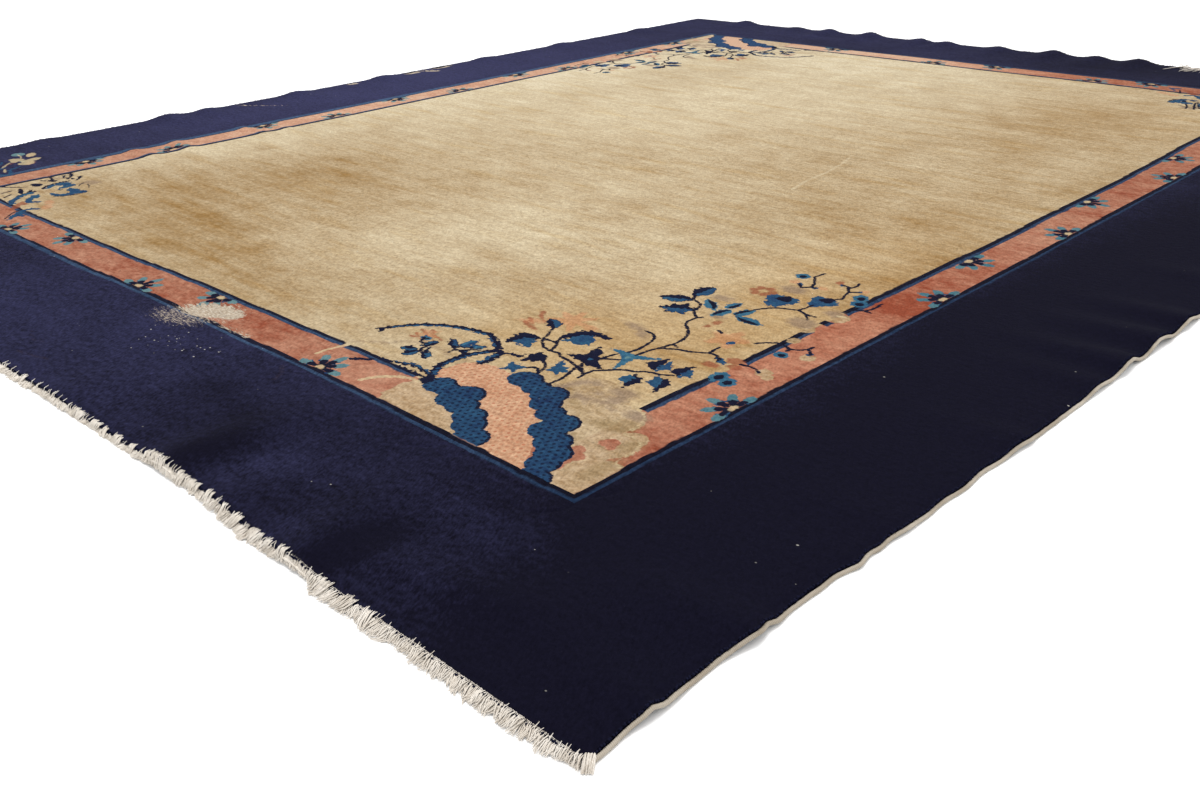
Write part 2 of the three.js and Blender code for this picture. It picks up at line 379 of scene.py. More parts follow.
def stroke(points, half, tip=None):
    """A line of that half width, which may taper to its tip."""
    tip = half if tip is None else tip
    path = np.array(points, float)
    middle, reach = path.mean(0), np.ptp(path, axis=0).max()
    share = np.linspace(half, tip, len(path))

    def inside(x, y):
        best = np.full_like(x, OUTSIDE)
        for a, b, wide_a, wide_b in zip(path, path[1:], share, share[1:]):
            run = b - a
            along = np.clip(((x - a[0]) * run[0] + (y - a[1]) * run[1]) / (run @ run), 0, 1)
            away = np.hypot(x - a[0] - along * run[0], y - a[1] - along * run[1])
            best = np.maximum(best, wide_a + (wide_b - wide_a) * along - away)
        return best

    return (*middle, reach + half), inside


def lobed(x0, y0, radius, lobes, depth, turn=0):
    """A blossom or a leaf of several lobes round its middle."""

    def inside(x, y):
        angle = np.arctan2(y - y0, x - x0) - math.radians(turn)
        dip = abs(np.sin(lobes * angle / 2)) ** 2
        return 0.8 * (radius * (1 - depth * dip) - np.hypot(x - x0, y - y0))

    return (x0, y0, radius), inside


def discs(*rows):
    return [disc(*row) for row in rows]


def union(*shapes):
    corners = np.array([(x - r, y - r, x + r, y + r) for (x, y, r), _ in shapes])
    low, high = corners[:, :2].min(0), corners[:, 2:].max(0)
    middle = (low + high) / 2

    def inside(x, y):
        return np.max([one(x, y) for _, one in shapes], axis=0)

    return (*middle, (high - low).max() / 2), inside


def rim(shape, dx, dy):
    """The strip of a shape that a copy moved by dx, dy leaves bare."""
    place, whole = shape
    return place, lambda x, y: np.minimum(whole(x, y), -whole(x - dx, y - dy))


def draw(wool, *shapes, both=True):
    motifs.extend((wool, place, inside, both) for place, inside in shapes)


print("outlines: disc, leaf, stroke, lobed, and their unions and rims")

# %% [markdown]
# ## Half daisies on the coral band
# A row of half daisies sits on the two edges of the coral band, open towards its
# middle. Each has a cream eye and five petals, navy at the root and pale teal at
# the tip. They stand at uneven distances, so each row of the table is one daisy.

# %% Where the band runs
BAND = {"right": 1047.7, "left": -1041.4, "near": -1381.2, "far": 1373.5}
BAND_COLOUR_WIDTH = {"right": 74.0, "near": 72.5, "left": 70.5, "far": 64.0}
NARROWER = {"near": 1.02, "left": 1.05, "far": 1.15}  # than the right limb
STRAIGHT = ([0], [0])
BOWS = {  # how far each limb's lines swing off straight: places along it, and by how much
    "near": (
        [-1370, -650, -530, -400, -300, -200, -112, 0, 110, 257, 335, 400, 500, 650, 780, 1000],
        [-28, -28, -23, -20, -18.3, -15, -8.8, -4.7, -2.8, 0, 1.2, 3.5, 6.5, 5.5, 3.5, 2]),
    "far": STRAIGHT,
    "right": ([-1100, -460, -250, 0, 270, 480, 700], [1.3, 2.3, 3.8, 1, -0.7, -2, -8]),
    "left": STRAIGHT,
}
INNER_BOWS = {  # and how much further the two inner lines swing
    "near": ([-1100, -670, -350, -145, 335, 900], [-2.5, -2.5, 0, 0, 0, 0]),
    "far": ([-325, 0, 275], [0, -3, -9]),
    "right": ([-1300, -1100, -700, -460, -250, 270, 480, 700], [-7, -6, -4, -2, 0, 2, -1, -5]),
    "left": STRAIGHT,
}
LINES = {  # where the outer blue and navy start, then the inner blue, inner navy and field
    "near": (-16, -6, 73, 80.5, 87.3), "far": (-15, -6.5, 74, 81, 91),
    "right": (-14.7, -9.4, 72, 79.5, 90), "left": (-26, -4, 80, 86, 98),
}
INWARD = {"right": 180, "near": 90, "left": 0, "far": 270}  # degrees
print("the band's outer line, in mm from the middle:", BAND)

# %% Half daisies
EYE_INSET_OUTER, EYE_INSET_INNER = 5.5, 6.5  # from the two edges of the coral
PETALS = [(-90, 34.5), (-46, 32), (0, 34), (46, 32), (90, 34.5)]  # degrees off, reach
DAISIES = {  # places along the limb: on its outer edge, on its inner edge
    "near": ([501, -52, -595], [120, -422]),
    "right": ([-1079, -542, -95, 408, 900], [-350, 126, 573]),
    "left": ([-1045, -548, -100, 380, 900, 1145], [-842, -345, 105, 560]),
    "far": ([-475, 125, 605], [-70, 455]),
}


def half_daisy(x0, y0, facing, luck):
    def out(angle, reach):
        turn = math.radians(angle)
        return x0 + reach * math.cos(turn), y0 + reach * math.sin(turn)

    for spread, reach in PETALS:
        angle, reach = facing + spread + luck.uniform(-5, 5), reach + luck.uniform(-1.5, 2)
        draw("pale", disc(*out(angle, reach), 12.5, 7.5, angle), both=False)
        draw("blue", stroke([out(angle, 13), out(angle, reach - 8.5)], 3.6, 7.8), both=False)
        draw("ink", stroke([out(angle, 8), out(angle, reach - 12.5)], 3.6, 6.6), both=False)
    draw("cream", disc(x0, y0, 6, 9.5, facing), both=False)


luck = np.random.default_rng(7)
for limb, rows in DAISIES.items():
    facing = math.radians(INWARD[limb])
    step = (math.cos(facing), math.sin(facing))
    for inner, row in enumerate(rows):
        depth = BAND_COLOUR_WIDTH[limb] - EYE_INSET_INNER if inner else EYE_INSET_OUTER
        for along in row:
            line = BAND[limb] + np.interp(along, *BOWS[limb])
            x0, y0 = (line, along) if limb in ("right", "left") else (along, line)
            place = (x0 + depth * step[0], y0 + depth * step[1])
            half_daisy(*place, INWARD[limb] + 180 * inner, luck)
print(len(motifs), "strokes and petals in the half daisies")

# %% [markdown]
# ## The corner spray: rocks, clouds and a flowering tree
# In the near right corner two blue rocks with navy dots climb out of the corner,
# with a peach rock between them and tan clouds to both sides. A tree bends out of
# the rocks over the field. The same drawing, turned half round, stands in the far
# left corner. Rocks and clouds are rows of overlapping discs, which gives them
# their scalloped outline.

# %% Rocks and clouds
BLUE_ROCKS = [
    union(*discs(
        (686, -1291, 25), (707, -1294, 20), (741, -1289, 29), (738, -1306, 28), (764, -1314, 25),
        (796, -1328, 25), (815, -1344, 25), (845, -1368, 27), (851, -1396, 27))),
    union(*discs(
        (765, -1199, 29, 25), (797, -1208, 22), (829, -1213, 28), (845, -1234, 24),
        (872, -1251, 22), (905, -1263, 27), (905, -1287, 27), (934, -1305, 27),
        (957, -1326, 26), (966, -1352, 24), (983, -1388, 27))),
]
PEACH_ROCK = union(
    *discs((682, -1236, 34), (712, -1240, 37), (664, -1258, 20)),
    stroke([(700, -1245), (765, -1250), (825, -1292), (868, -1335), (915, -1400)], 48)
)
TAN_CLOUDS = union(
    *discs((668, -1326, 27), (668, -1352, 24), (680, -1380, 26), (690, -1315, 26),
        (955, -1205, 36), (1001, -1260, 33), (1006, -1236, 22), (1037, -1338, 46)),
    stroke([(700, -1345), (745, -1368), (790, -1390)], 46),
    stroke([(862, -1170), (915, -1205), (965, -1290), (1020, -1400)], 46)
)

draw("tan", TAN_CLOUDS)
draw("olive", stroke([(938, -1274), (980, -1277), (1020, -1276)], 2.4),
     stroke([(1000, -1347), (1046, -1346)], 2.2), *discs((972, -1216, 28, 19, 60),
     (948, -1228, 22, 12, 20), (1017, -1250, 13, 20), (1020, -1242, 12, 10),
     (862, -1200, 40, 5, -30), (1030, -1320, 14, 40)))
draw("lavender",
     stroke([(820, -1186), (827, -1172), (834, -1156), (844, -1147), (860, -1146)], 8, 6),
     stroke([(858, -1196), (880, -1186), (905, -1182), (930, -1190)], 7, 4),
     *discs((906, -1143, 22, 13), (912, -1164, 13, 16), (966, -1182, 20, 13), (880, -1166, 16, 5),
     (870, -1190, 20, 6, -20)))
draw("coral", union(*discs((992, -1257, 11), (985, -1265, 8), (1000, -1268, 7))),
     union(*discs((973, -1299, 11), (985, -1312, 11), (978, -1330, 12), (986, -1345, 8))))
draw("cream", stroke([(950, -1166), (966, -1170), (980, -1184), (988, -1206), (986, -1228)], 1.3),
     stroke([(990, -1232), (1004, -1229), (1022, -1236), (1031, -1256), (1029, -1276),
         (1033, -1292), (1046, -1299)], 1.3),
     stroke([(1000, -1311), (992, -1326), (994, -1344)], 1.2))
draw("peach", PEACH_ROCK)
draw("rock", *BLUE_ROCKS)
draw("ink", *(rim(rock, -3.4, -3.4) for rock in BLUE_ROCKS))
print(len(motifs), "motifs with the rocks and clouds")

# %% Trunk, stems and twigs
draw("navy", stroke([(444, -1223), (450, -1212), (459, -1198), (471, -1180), (487, -1163),
         (512, -1146), (541, -1134), (571, -1127), (599, -1124), (620, -1132), (638, -1144),
         (660, -1157)], 5.0, 6.2),
     stroke([(658, -1158), (667, -1158), (680, -1152), (697, -1148)], 3.2, 4.6),
     stroke([(653, -1158), (642, -1176), (634, -1196), (631, -1214), (630, -1236), (634, -1254),
         (643, -1268), (655, -1284), (661, -1300)], 6.4, 7.4),
     stroke([(646, -1278), (628, -1276), (611, -1272), (596, -1276), (582, -1280), (567, -1285),
         (547, -1290)], 4.8, 4.2), stroke([(656, -1290), (618, -1290), (585, -1292)], 3.2),
     stroke([(664, -1160), (669, -1176), (672, -1190), (670, -1203)], 7.6, 6.4),
     stroke([(535, -1304), (522, -1311), (512, -1321)], 4.4, 5.2), *discs((448, -1222, 8, 5, -20),
     (658, -1292, 11, 13)))
draw("blue", stroke([(456, -1204), (468, -1186), (489, -1166), (513, -1150), (541, -1137),
         (571, -1130), (599, -1128), (620, -1137), (640, -1149)], 2.0),
     stroke([(648, -1168), (637, -1190), (633, -1214), (633, -1238), (640, -1260), (652, -1274)],
         2.4), stroke([(645, -1275), (611, -1270), (582, -1277), (560, -1283)], 1.9),
     stroke([(664, -1170), (666, -1202)], 3.8, 3.0))
TWIGS = [
    [(802, -1190), (802, -1164), (798, -1148), (792, -1131), (787, -1120), (764, -1113),
        (743, -1110), (732, -1103), (713, -1106), (697, -1102), (680, -1089), (671, -1078),
        (668, -1066), (661, -1056), (653, -1038)],
    [(716, -1104), (712, -1094), (706, -1084), (697, -1072), (691, -1060)],
    [(672, -1079), (688, -1078), (700, -1078)], [(787, -1119), (803, -1127), (814, -1132)],
    [(818, -1146), (815, -1130), (817, -1115), (826, -1105), (840, -1090), (850, -1083),
        (864, -1079), (874, -1069), (888, -1064), (898, -1063), (907, -1057), (914, -1052)],
    [(811, -1131), (797, -1120), (788, -1110), (783, -1097)],
    [(792, -1084), (796, -1066), (800, -1048)], [(794, -1078), (806, -1069), (818, -1062)],
    [(808, -1034), (812, -1018), (810, -998), (806, -980), (800, -966), (788, -957), (771, -955)],
    [(825, -1034), (827, -1010), (833, -988), (838, -964), (838, -944), (831, -925), (818, -909),
        (800, -895), (793, -880), (795, -862), (801, -853)],
    [(795, -862), (780, -850), (770, -840), (768, -825), (761, -812), (745, -806), (735, -800),
        (728, -788)], [(736, -803), (722, -806), (710, -806)],
    [(834, -992), (855, -978), (876, -972), (893, -962), (901, -957), (915, -957), (928, -965)],
    [(901, -957), (899, -945), (898, -932)], [(838, -965), (850, -971)],
    [(843, -776), (850, -765), (860, -752), (868, -745), (881, -740), (898, -733), (901, -716),
        (902, -700)], [(898, -733), (916, -740), (936, -740)],
    [(916, -740), (926, -750), (933, -758)], [(913, -668), (915, -655), (922, -645), (915, -630),
        (912, -614), (902, -600), (896, -592), (885, -590)],
    [(903, -596), (906, -582), (902, -567)], [(912, -612), (925, -603)],
    [(825, -632), (833, -640), (841, -645), (850, -632), (845, -615), (835, -600), (826, -588),
        (829, -563)], [(850, -632), (859, -632)], [(854, -880), (866, -886)],
    [(930, -885), (940, -872), (955, -862), (970, -865), (981, -870), (993, -865), (1003, -854),
        (1004, -842)], [(981, -868), (983, -880)], [(1003, -852), (1012, -862), (1018, -868)],
    [(962, -960), (976, -957), (990, -960), (1000, -965)],
    [(982, -625), (985, -640), (983, -655), (978, -668), (965, -675)], [(978, -668), (992, -670)],
    [(733, -1137), (744, -1143), (756, -1153), (760, -1165), (762, -1174)],
    [(736, -1170), (740, -1163), (750, -1162), (760, -1172)],
    [(528, -1198), (536, -1210), (544, -1213), (552, -1208)],
    [(560, -1212), (559, -1224), (565, -1236)], [(590, -1188), (602, -1196), (603, -1210)],
    [(606, -1194), (618, -1193), (634, -1196)], [(614, -1190), (622, -1180), (634, -1172)],
    [(567, -1215), (570, -1226), (578, -1234)]
]
draw("ink", *(stroke(points, 2.9, 2.6) for points in TWIGS))
print(len(TWIGS), "twigs")


# %% Leaves, buds and blossoms of the corner spray
def two_tone(x0, y0, turn, long, wide, side, under="navy", over="blue"):
    """A leaf in one wool, with a half of it in another."""
    draw(under, leaf(x0, y0, turn, long, wide))
    draw(over, leaf(x0, y0, turn, long - 5, wide - 3, side))


def ivy(x0, y0, turn, size, side, spread):
    """A leaf of three points: a long one and two shorter ones beside it."""
    for k in (-1, 0, 1):
        angle = turn + k * spread
        long = size * (0.8 if k else 1.0)
        x1 = x0 + math.cos(math.radians(angle)) * long * 0.36
        y1 = y0 + math.sin(math.radians(angle)) * long * 0.36
        draw("navy", leaf(x1, y1, angle, long, size * 0.44))
        if k == side:
            draw("blue", leaf(x1, y1, angle, long - 5, size * 0.44 - 3))
        if k == 0:
            draw("blue", leaf(x1, y1, angle, long - 5, size * 0.44 - 2, side))


def star(x0, y0, radius, points, under="navy"):
    """A ragged leaf: a small round body that runs out to each of the points."""
    body = radius * 1.25
    draw(under, disc(x0, y0, body), *(stroke([(x0, y0), point], body, 2.4) for point in points))


for row in [
        (640, -1027, -36, 46, 25, 1), (727, -763, 88, 58, 36, -1), (712, -816, 22, 62, 32, -1),
        (555, -1206, 70, 34, 19, 1), (583, -1237, -37, 42, 17, 1), (544, -1239, 25, 30, 20, -1),
        (560, -1247, 70, 32, 20, -1), (582, -1183, -32, 44, 17, 1), (618, -1170, 38, 40, 17, 1),
        (600, -1172, 84, 38, 18, 1), (620, -1193, 3, 28, 13, 1), (930, -968, -25, 28, 15, 1)]:
    two_tone(*row)
for row in [
        (774, -803, -38, 56, 22, 1), (806, -784, 78, 38, 20, -1), (839, -797, 70, 46, 22, 1),
        (811, -820, 78, 46, 23, 1), (865, -820, -6, 60, 22, -1)]:
    two_tone(*row, under="teal", over="ink")
two_tone(600, -1166, 80, 38, 18, 1, under="blue", over="teal")
star(527, -1197, 5, [], "blue")
draw("navy", stroke([(749, -1017), (736, -1013), (722, -1014), (710, -1020), (700, -1033),
         (695, -1050)], 5, 9.6), stroke([(712, -1020), (706, -1007)], 7, 1),
     stroke([(694, -1048), (691, -1060)], 7, 2), disc(711, -1034, 20))
for row in [  # middle, radius, points
        (647, -1094, 13, [(633, -1082), (654, -1078), (671, -1083), (627, -1097), (632, -1110),
                          (638, -1127)]),
        (782, -1089, 12, [(763, -1046), (747, -1097), (818, -1105), (796, -1108), (765, -1100),
                          (790, -1072)]),
        (776, -1068, 8, [(763, -1046)]),
        (871, -1041, 11, [(870, -1013), (856, -1044), (880, -1058)]),
        (913, -1035, 10, [(917, -1013), (903, -1045), (904, -1026), (920, -1050)]),
        (920, -1082, 9, [(916, -1070), (931, -1079), (931, -1110), (908, -1070)]),
        (883, -1102, 10, [(871, -1085), (886, -1088), (896, -1100), (888, -1128)]),
        (719, -1136, 12, [(708, -1117), (728, -1124), (736, -1138), (724, -1149), (709, -1157),
                          (702, -1134)])]:
    star(*row)
for row in [
        (723, -1044, 15, [(727, -1024), (738, -1034), (744, -1054), (730, -1060), (702, -1064)]),
        (660, -1106, 11, [(660, -1090), (672, -1094), (680, -1116), (670, -1118), (660, -1122),
                          (645, -1114)]),
        (886, -1038, 7, [(880, -1018), (898, -1041), (884, -1057)]),
        (926, -1038, 6, [(923, -1020), (936, -1043), (924, -1051)]),
        (911, -1087, 8, [(900, -1066), (900, -1093), (922, -1100), (912, -1076)]),
        (871, -1104, 8, [(868, -1090), (862, -1111), (877, -1118), (878, -1096)]),
        (774, -1146, 9, [(757, -1122), (782, -1133), (790, -1143), (785, -1157), (763, -1156)]),
        (720, -1182, 8, [(704, -1171), (718, -1170), (733, -1171), (731, -1193), (709, -1197)]),
        (784, -1090, 3, [])]:
    star(*row, under="blue")
draw("teal", stroke([(821, -1044), (800, -1040), (778, -1040)], 10, 2),
     stroke([(823, -1042), (842, -1034), (862, -1022)], 9.5, 2.4),
     stroke([(822, -1048), (830, -1068), (833, -1090)], 10, 2.6), disc(821, -1046, 12.5))
draw("pale", disc(821, -1049, 4, 5))
for row in [(742, -852, 30, 44, -1, 50), (745, -850, 205, 40, 1, 50)]:
    ivy(*row)

for x0, y0, radius, turn in [(849, -718, 31, 90), (905, -680, 27, 80)]:
    draw("blue", lobed(x0, y0, radius, 3, 0.28, turn + 60))
    draw("ink", lobed(x0 + 2, y0 + 12, radius * 0.5, 3, 0.3, turn))
for x0, y0, wide, high, turn in [
        (943, -625, 13, 17, 30), (955, -648, 14, 16, 40), (985, -895, 12, 11, 0),
        (965, -1013, 13, 18, 0), (986, -1020, 13, 15, 0), (808, -597, 13, 13, 0),
        (535, -1196, 8, 7, 0), (625, -1168, 8, 6, 30)]:
    draw("teal", disc(x0, y0, wide, high, turn))
    draw("ink", disc(x0 + 1, y0 - 1, wide * 0.55, high * 0.5, turn))
draw("blue", *discs((900, -907, 6, 7), (936, -972, 8, 5, -30), (828, -633, 5), (858, -632, 5),
     (886, -591, 5), (925, -602, 5), (1018, -868, 4.5), (998, -964, 4)))
print(len(motifs), "motifs with the leaves and blossoms")

# %% Faded blossoms, and where the band's inner line stops
draw("russet", *(disc(803 + 17 * math.cos(turn), -701 + 15 * math.sin(turn), 8.5)
                 for turn in (0.2, 1.3, 2.4, 3.4, 4.3, 5.3)),
     stroke([(596, -1036), (610, -1048), (638, -1062)], 4, 1),
     stroke([(502, -1182), (524, -1188), (548, -1196)], 3.4, 1),
     stroke([(516, -1172), (540, -1184), (562, -1188)], 2.6, 1),
     stroke([(510, -1208), (524, -1200)], 4, 1),
     stroke([(592, -1006), (606, -1022), (622, -1030)], 5, 2),
     stroke([(600, -1052), (622, -1062), (640, -1064)], 5, 2),
     stroke([(506, -1196), (530, -1204), (556, -1206)], 2.4, 1), *discs((834, -860, 7, 10),
     (832, -880, 5, 9), (877, -587, 8), (931, -990, 15, 9), (950, -958, 15, 11),
     (962, -975, 12, 9)))
draw("rose", lobed(890, -900, 36, 5, 0.5, 90), lobed(523, -1186, 20, 5, 0.6),
     lobed(655, -1002, 44, 7, 0.7), *discs((815, -630, 10), (870, -628, 12, 7), (933, -598, 8),
     (700, -1004, 14, 9), (610, -1040, 26, 9, 30)))
draw("lavender", *discs((838, -664, 24, 17), (752, -955, 26, 9, -12), (776, -968, 22, 9, -40),
     (935, -775, 26, 20), (772, -770, 20, 12), (952, -712, 18, 13), (817, -838, 15, 9),
     (835, -655, 12, 8)))
draw("tan", *discs((970, -722, 14, 18), (967, -840, 11), (1021, -880, 12), (1005, -962, 13),
     (1018, -972, 9), (958, -792, 12, 12)))
draw("cream",
     stroke([(455, -1344), (455, -1325), (459, -1308), (462, -1296), (466, -1284)], 3.4, 2.8),
     stroke([(588, -1357), (594, -1342), (606, -1326), (622, -1314), (640, -1306), (656, -1306)],
         4.6, 3.6), disc(966, -714, 9, 5))
draw("lavender", stroke([(458, -1282), (480, -1266), (505, -1246), (525, -1222), (560, -1212),
         (592, -1210), (620, -1222)], 2.0, 1.8), stroke([(650, -1212), (652, -1262)], 1.4))
GAPS = [(960, -982, 24, 30), (960, -722, 24, 22), (960, -778, 24, 17), (462, -1295, 5, 14)]
draw("gap", *discs(*GAPS), stroke([(960, -1190), (960, -1400)], 26),
     stroke([(664, -1300), (1000, -1300)], 26))
print(len(motifs), "motifs in all")

# %% [markdown]
# ## The other corner spray
# The near left corner, half out of the picture, and the far right one have a
# lighter drawing: cream and pink blossoms on the navy border, and blue blossoms
# on the field. One table serves both corners.

# %% Sprays of the other two corners
draw("cream", stroke([(-1250, -1128), (-1222, -1130), (-1196, -1142)], 2.2),
     stroke([(-1176, -1176), (-1160, -1192), (-1141, -1208)], 2.6),
     stroke([(-1118, -1211), (-1100, -1217), (-1086, -1222)], 2.6),
     *discs((-1166, -1122, 14, 20, 25), (-1137, -1146, 21, 14, -35), (-1196, -1152, 21, 13, 30),
     (-1160, -1142, 18, 12), (-1140, -1160, 13, 9), (-1182, -1164, 12, 8),
     (-1221, -1106, 22, 12, -28)))
draw("pale", *discs((-1168, -1148, 11, 6), (-1255, -1125, 19, 16), (-1136, -1420, 14)))
draw("teal", disc(-1256, -1126, 13, 9))
draw("blue", leaf(-1112, -1190, -62, 44, 8), leaf(-1136, -1212, -50, 40, 8),
     leaf(-1078, -1212, -20, 60, 10), leaf(-1190, -1192, -30, 34, 8),
     leaf(-1066, -1232, 30, 50, 9))
draw("rose", *discs((-1216, -1108, 14, 7, -28), (-1134, -1142, 18, 10, -35),
     (-1180, -1300, 20, 14), (-728, -1262, 22, 10, -20), (-696, -1280, 20, 12, -25)))
draw("russet", leaf(-756, -1322, -42, 88, 17), stroke([(-1172, -1165), (-1150, -1200)], 1.4),
     disc(-766, -1303, 16, 8))
draw("navy", stroke([(-943, -1122), (-927, -1128), (-914, -1139), (-903, -1148)], 5, 3),
     stroke([(-939, -1138), (-926, -1147), (-916, -1149)], 4, 2),
     stroke([(-901, -1117), (-888, -1125), (-877, -1137)], 5.5, 2),
     stroke([(-899, -1136), (-888, -1144)], 3, 1.5),
     stroke([(-963, -1166), (-940, -1170), (-922, -1176)], 3, 4),
     stroke([(-910, -1176), (-922, -1184), (-938, -1196)], 8, 2), leaf(-907, -1219, 6, 42, 24),
     leaf(-877, -1267, -18, 52, 11), stroke([(-871, -1180), (-868, -1196), (-866, -1208)], 4, 3),
     stroke([(-832, -1162), (-828, -1182), (-816, -1202)], 4, 2))
draw("navy", stroke([(-881, -1158), (-885, -1182), (-878, -1206), (-860, -1222)], 4.5),
     stroke([(-752, -1170), (-750, -1192), (-758, -1216), (-776, -1232)], 4),
     stroke([(-850, -1250), (-842, -1284)], 8, 6))
draw("blue", stroke([(-840, -1164), (-832, -1186)], 9, 8),
     stroke([(-874, -1178), (-870, -1198), (-856, -1214)], 9, 6),
     stroke([(-764, -1190), (-766, -1210), (-780, -1225), (-804, -1227)], 11, 5),
     stroke([(-836, -1190), (-822, -1200)], 4, 2),
     stroke([(-844, -1256), (-838, -1280), (-822, -1298), (-808, -1314), (-786, -1320)], 9, 7),
     stroke([(-800, -1270), (-788, -1284), (-772, -1290), (-754, -1276)], 10, 5),
     *discs((-862, -1170, 20, 14, -10), (-788, -1182, 26, 13), (-762, -1178, 13),
     (-806, -1262, 16, 11, -10)))
draw("blue", stroke([(-700, -1298), (-712, -1308), (-714, -1322), (-704, -1338), (-690, -1346),
         (-680, -1360)], 5, 8), stroke([(-690, -1350), (-672, -1366), (-662, -1378)], 9, 2),
     stroke([(-690, -1340), (-668, -1344)], 7, 4),
     stroke([(690, 1350), (668, 1346), (690, 1318)], 7, 3), both=False)
draw("navy", stroke([(752, 1212), (760, 1196), (774, 1176)], 6, 5),
     stroke([(756, 1180), (790, 1168)], 4.5, 2), stroke([(776, 1206), (800, 1196)], 4, 3),
     both=False)
draw("ink", stroke([(-722, -1330), (-710, -1350), (-692, -1366), (-676, -1378)], 2.8, 2.0),
     stroke([(796, 1186), (806, 1150), (822, 1104)], 2.8),
     stroke([(780, 1160), (796, 1128), (802, 1100)], 2.6),
     stroke([(812, 1160), (830, 1120)], 2.6),
     stroke([(700, 1330), (712, 1300), (716, 1288)], 2.6), both=False)
draw("ink", stroke([(-1000, -1300), (-960, -1285), (-925, -1262), (-905, -1240)], 3.0, 2.2),
     stroke([(-1065, -1345), (-1030, -1322), (-1000, -1300), (-968, -1305), (-930, -1330)], 3.4,
         2.4), stroke([(-902, -1258), (-880, -1262), (-858, -1272)], 2.8),
     stroke([(-898, -1280), (-893, -1302)], 2.4), stroke([(-868, -1292), (-854, -1312)], 2.8),
     stroke([(-868, -1245), (-857, -1252)], 2.6),
     stroke([(-872, -1244), (-862, -1256), (-852, -1262)], 2.0),
     stroke([(-838, -1136), (-828, -1150), (-816, -1158)], 2.0),
     stroke([(-820, -1136), (-800, -1140), (-784, -1149)], 1.8))
draw("lavender", stroke([(-900, -1276), (-898, -1300)], 4, 3),
     stroke([(-862, -1294), (-852, -1312)], 5, 4), *discs((-832, -1130, 12, 18),
     (-812, -1122, 10, 14), (-924, -1160, 12, 6)))
draw("tan", *discs((-828, -1220, 18, 10), (-836, -1236, 18, 7)))
print(len(motifs), "motifs with the other corners")

# %% [markdown]
# ## Wear
# On the near limb of the band the wool is worn off down to the cream cotton
# knots. Further round there are a short slit and a few eaten patches at the left
# edge. These are outlines too, of the bare cotton. Beside them lie strokes of
# painted light: a painted highlight along fold crests and a painted shade in the
# creases of folds.

# %% Bare patches, and painted highlights and shade along folds
draw("bare", *discs((163, -1357, 60, 29, 24), (205, -1345, 24, 20)), both=False)
draw("bare", stroke([(236, -1381), (262, -1380), (292, -1378), (312, -1378)], 2.4),
     stroke([(-1347, -438), (-1288, -398), (-1232, -354)], 2.2), *discs((-1352, -32, 13, 20),
     (-1352, 205, 18, 30), (-1330, 262, 30, 14, 30), (-1356, 330, 16, 36)), both=False)
# Painted highlight: pale strokes along the crests of folds on the field.
draw("crest", stroke([(499, 150), (545, 152), (595, 157), (672, 172), (770, 168)], 3.0, 2.0),
     stroke([(470, -170), (452, -90), (446, -10), (428, 80), (404, 150)], 3.4, 2.4), both=False)
draw("thin", *discs((148, -1408, 60, 30, 8), (168, -1372, 74, 40, 20)), both=False)
# Painted shade: dark strokes in the creases of folds, where the surface is also pressed in.
draw("crease", stroke([(86, -1647), (125, -1640), (161, -1628)], 2.6),
     stroke([(20, -1600), (60, -1612), (84, -1606)], 2.2),
     stroke([(800, 310), (865, 160), (935, 20)], 2.2, 2.8),
     stroke([(418, 170), (452, 60), (466, -60), (478, -170)], 3.0, 2.0),
     stroke([(600, 260), (680, 205), (760, 180)], 2.0),
     stroke([(-130, -200), (-60, -360), (-10, -480)], 2.2),
     stroke([(455, -1404), (478, -1420), (492, -1440)], 3.5),
     stroke([(930, -1275), (968, -1276), (1002, -1272)], 1.6), both=False)
print(len(motifs), "motifs with the wear and the creases")

# %% The whole drawing, at any flat point
TURNED_SUMS = (-17.0, -13.0)  # x and y of opposite points add up to these
SEEN_ROUND = 32  # how far round its outline each motif is worked out


def turned(x, y):
    """A point seen from the opposite corner, where the drawing is turned half round."""
    return TURNED_SUMS[0] - x, TURNED_SUMS[1] - y


def woven(x, y):
    """Where a flat point lies in the drawing, whose lines don't follow the drifted end."""
    return x, y + drift(x, y)


def drawn(x, y):
    """For each wool, how far inside its motifs the flat points lie."""
    x, y = woven(x, y)
    found = {wool: np.full(len(x), OUTSIDE) for wool in WOOLS}
    seen = [(x, y), turned(x, y)]
    for wool, (at_x, at_y, reach), inside, both in motifs:
        reach += SEEN_ROUND
        for u, v in seen[: 2 if both else 1]:
            near = (abs(u - at_x) < reach) & (abs(v - at_y) < reach)
            if near.any():
                found[wool][near] = np.maximum(found[wool][near], inside(u[near], v[near]))
    return found


probe = drawn(np.array([765.0, 600.0]), np.array([-1199.0, -900.0]))
print("inside the rock by", round(probe["rock"][0], 1), "mm")

# %% [markdown]
# ## The pile
# The cloth is a closed slab 9 mm thick: cotton foundation below, clipped wool
# above. A grid of even tiles would waste them on the open field or blur the
# drawing. So the slab starts with large tiles and is cut finer where something
# happens: along the edges, at the ripples, and twice more along the outlines of
# the motifs, whose distances are stored at the corners of the tiles.

# %% A slab of large tiles
TILE_COLUMNS, TILE_ROWS = 49, 60


def slab(columns, rows, wide, long, thick, aside=0.0):
    """A closed slab of even tiles with its underside at height 0, moved aside along Y."""
    bm = bmesh.new()
    bmesh.ops.create_grid(bm, x_segments=columns, y_segments=rows, size=0.5)
    bmesh.ops.scale(bm, vec=(wide, long, 1), verts=bm.verts)
    bmesh.ops.translate(bm, vec=(0, aside, 0), verts=bm.verts)
    underside = bm.faces[:]
    made = bmesh.ops.extrude_face_region(bm, geom=underside, use_keep_orig=True)["geom"]
    raised = [item for item in made if isinstance(item, bmesh.types.BMVert)]
    bmesh.ops.translate(bm, vec=(0, 0, thick), verts=raised)
    bmesh.ops.reverse_faces(bm, faces=underside)
    return bm


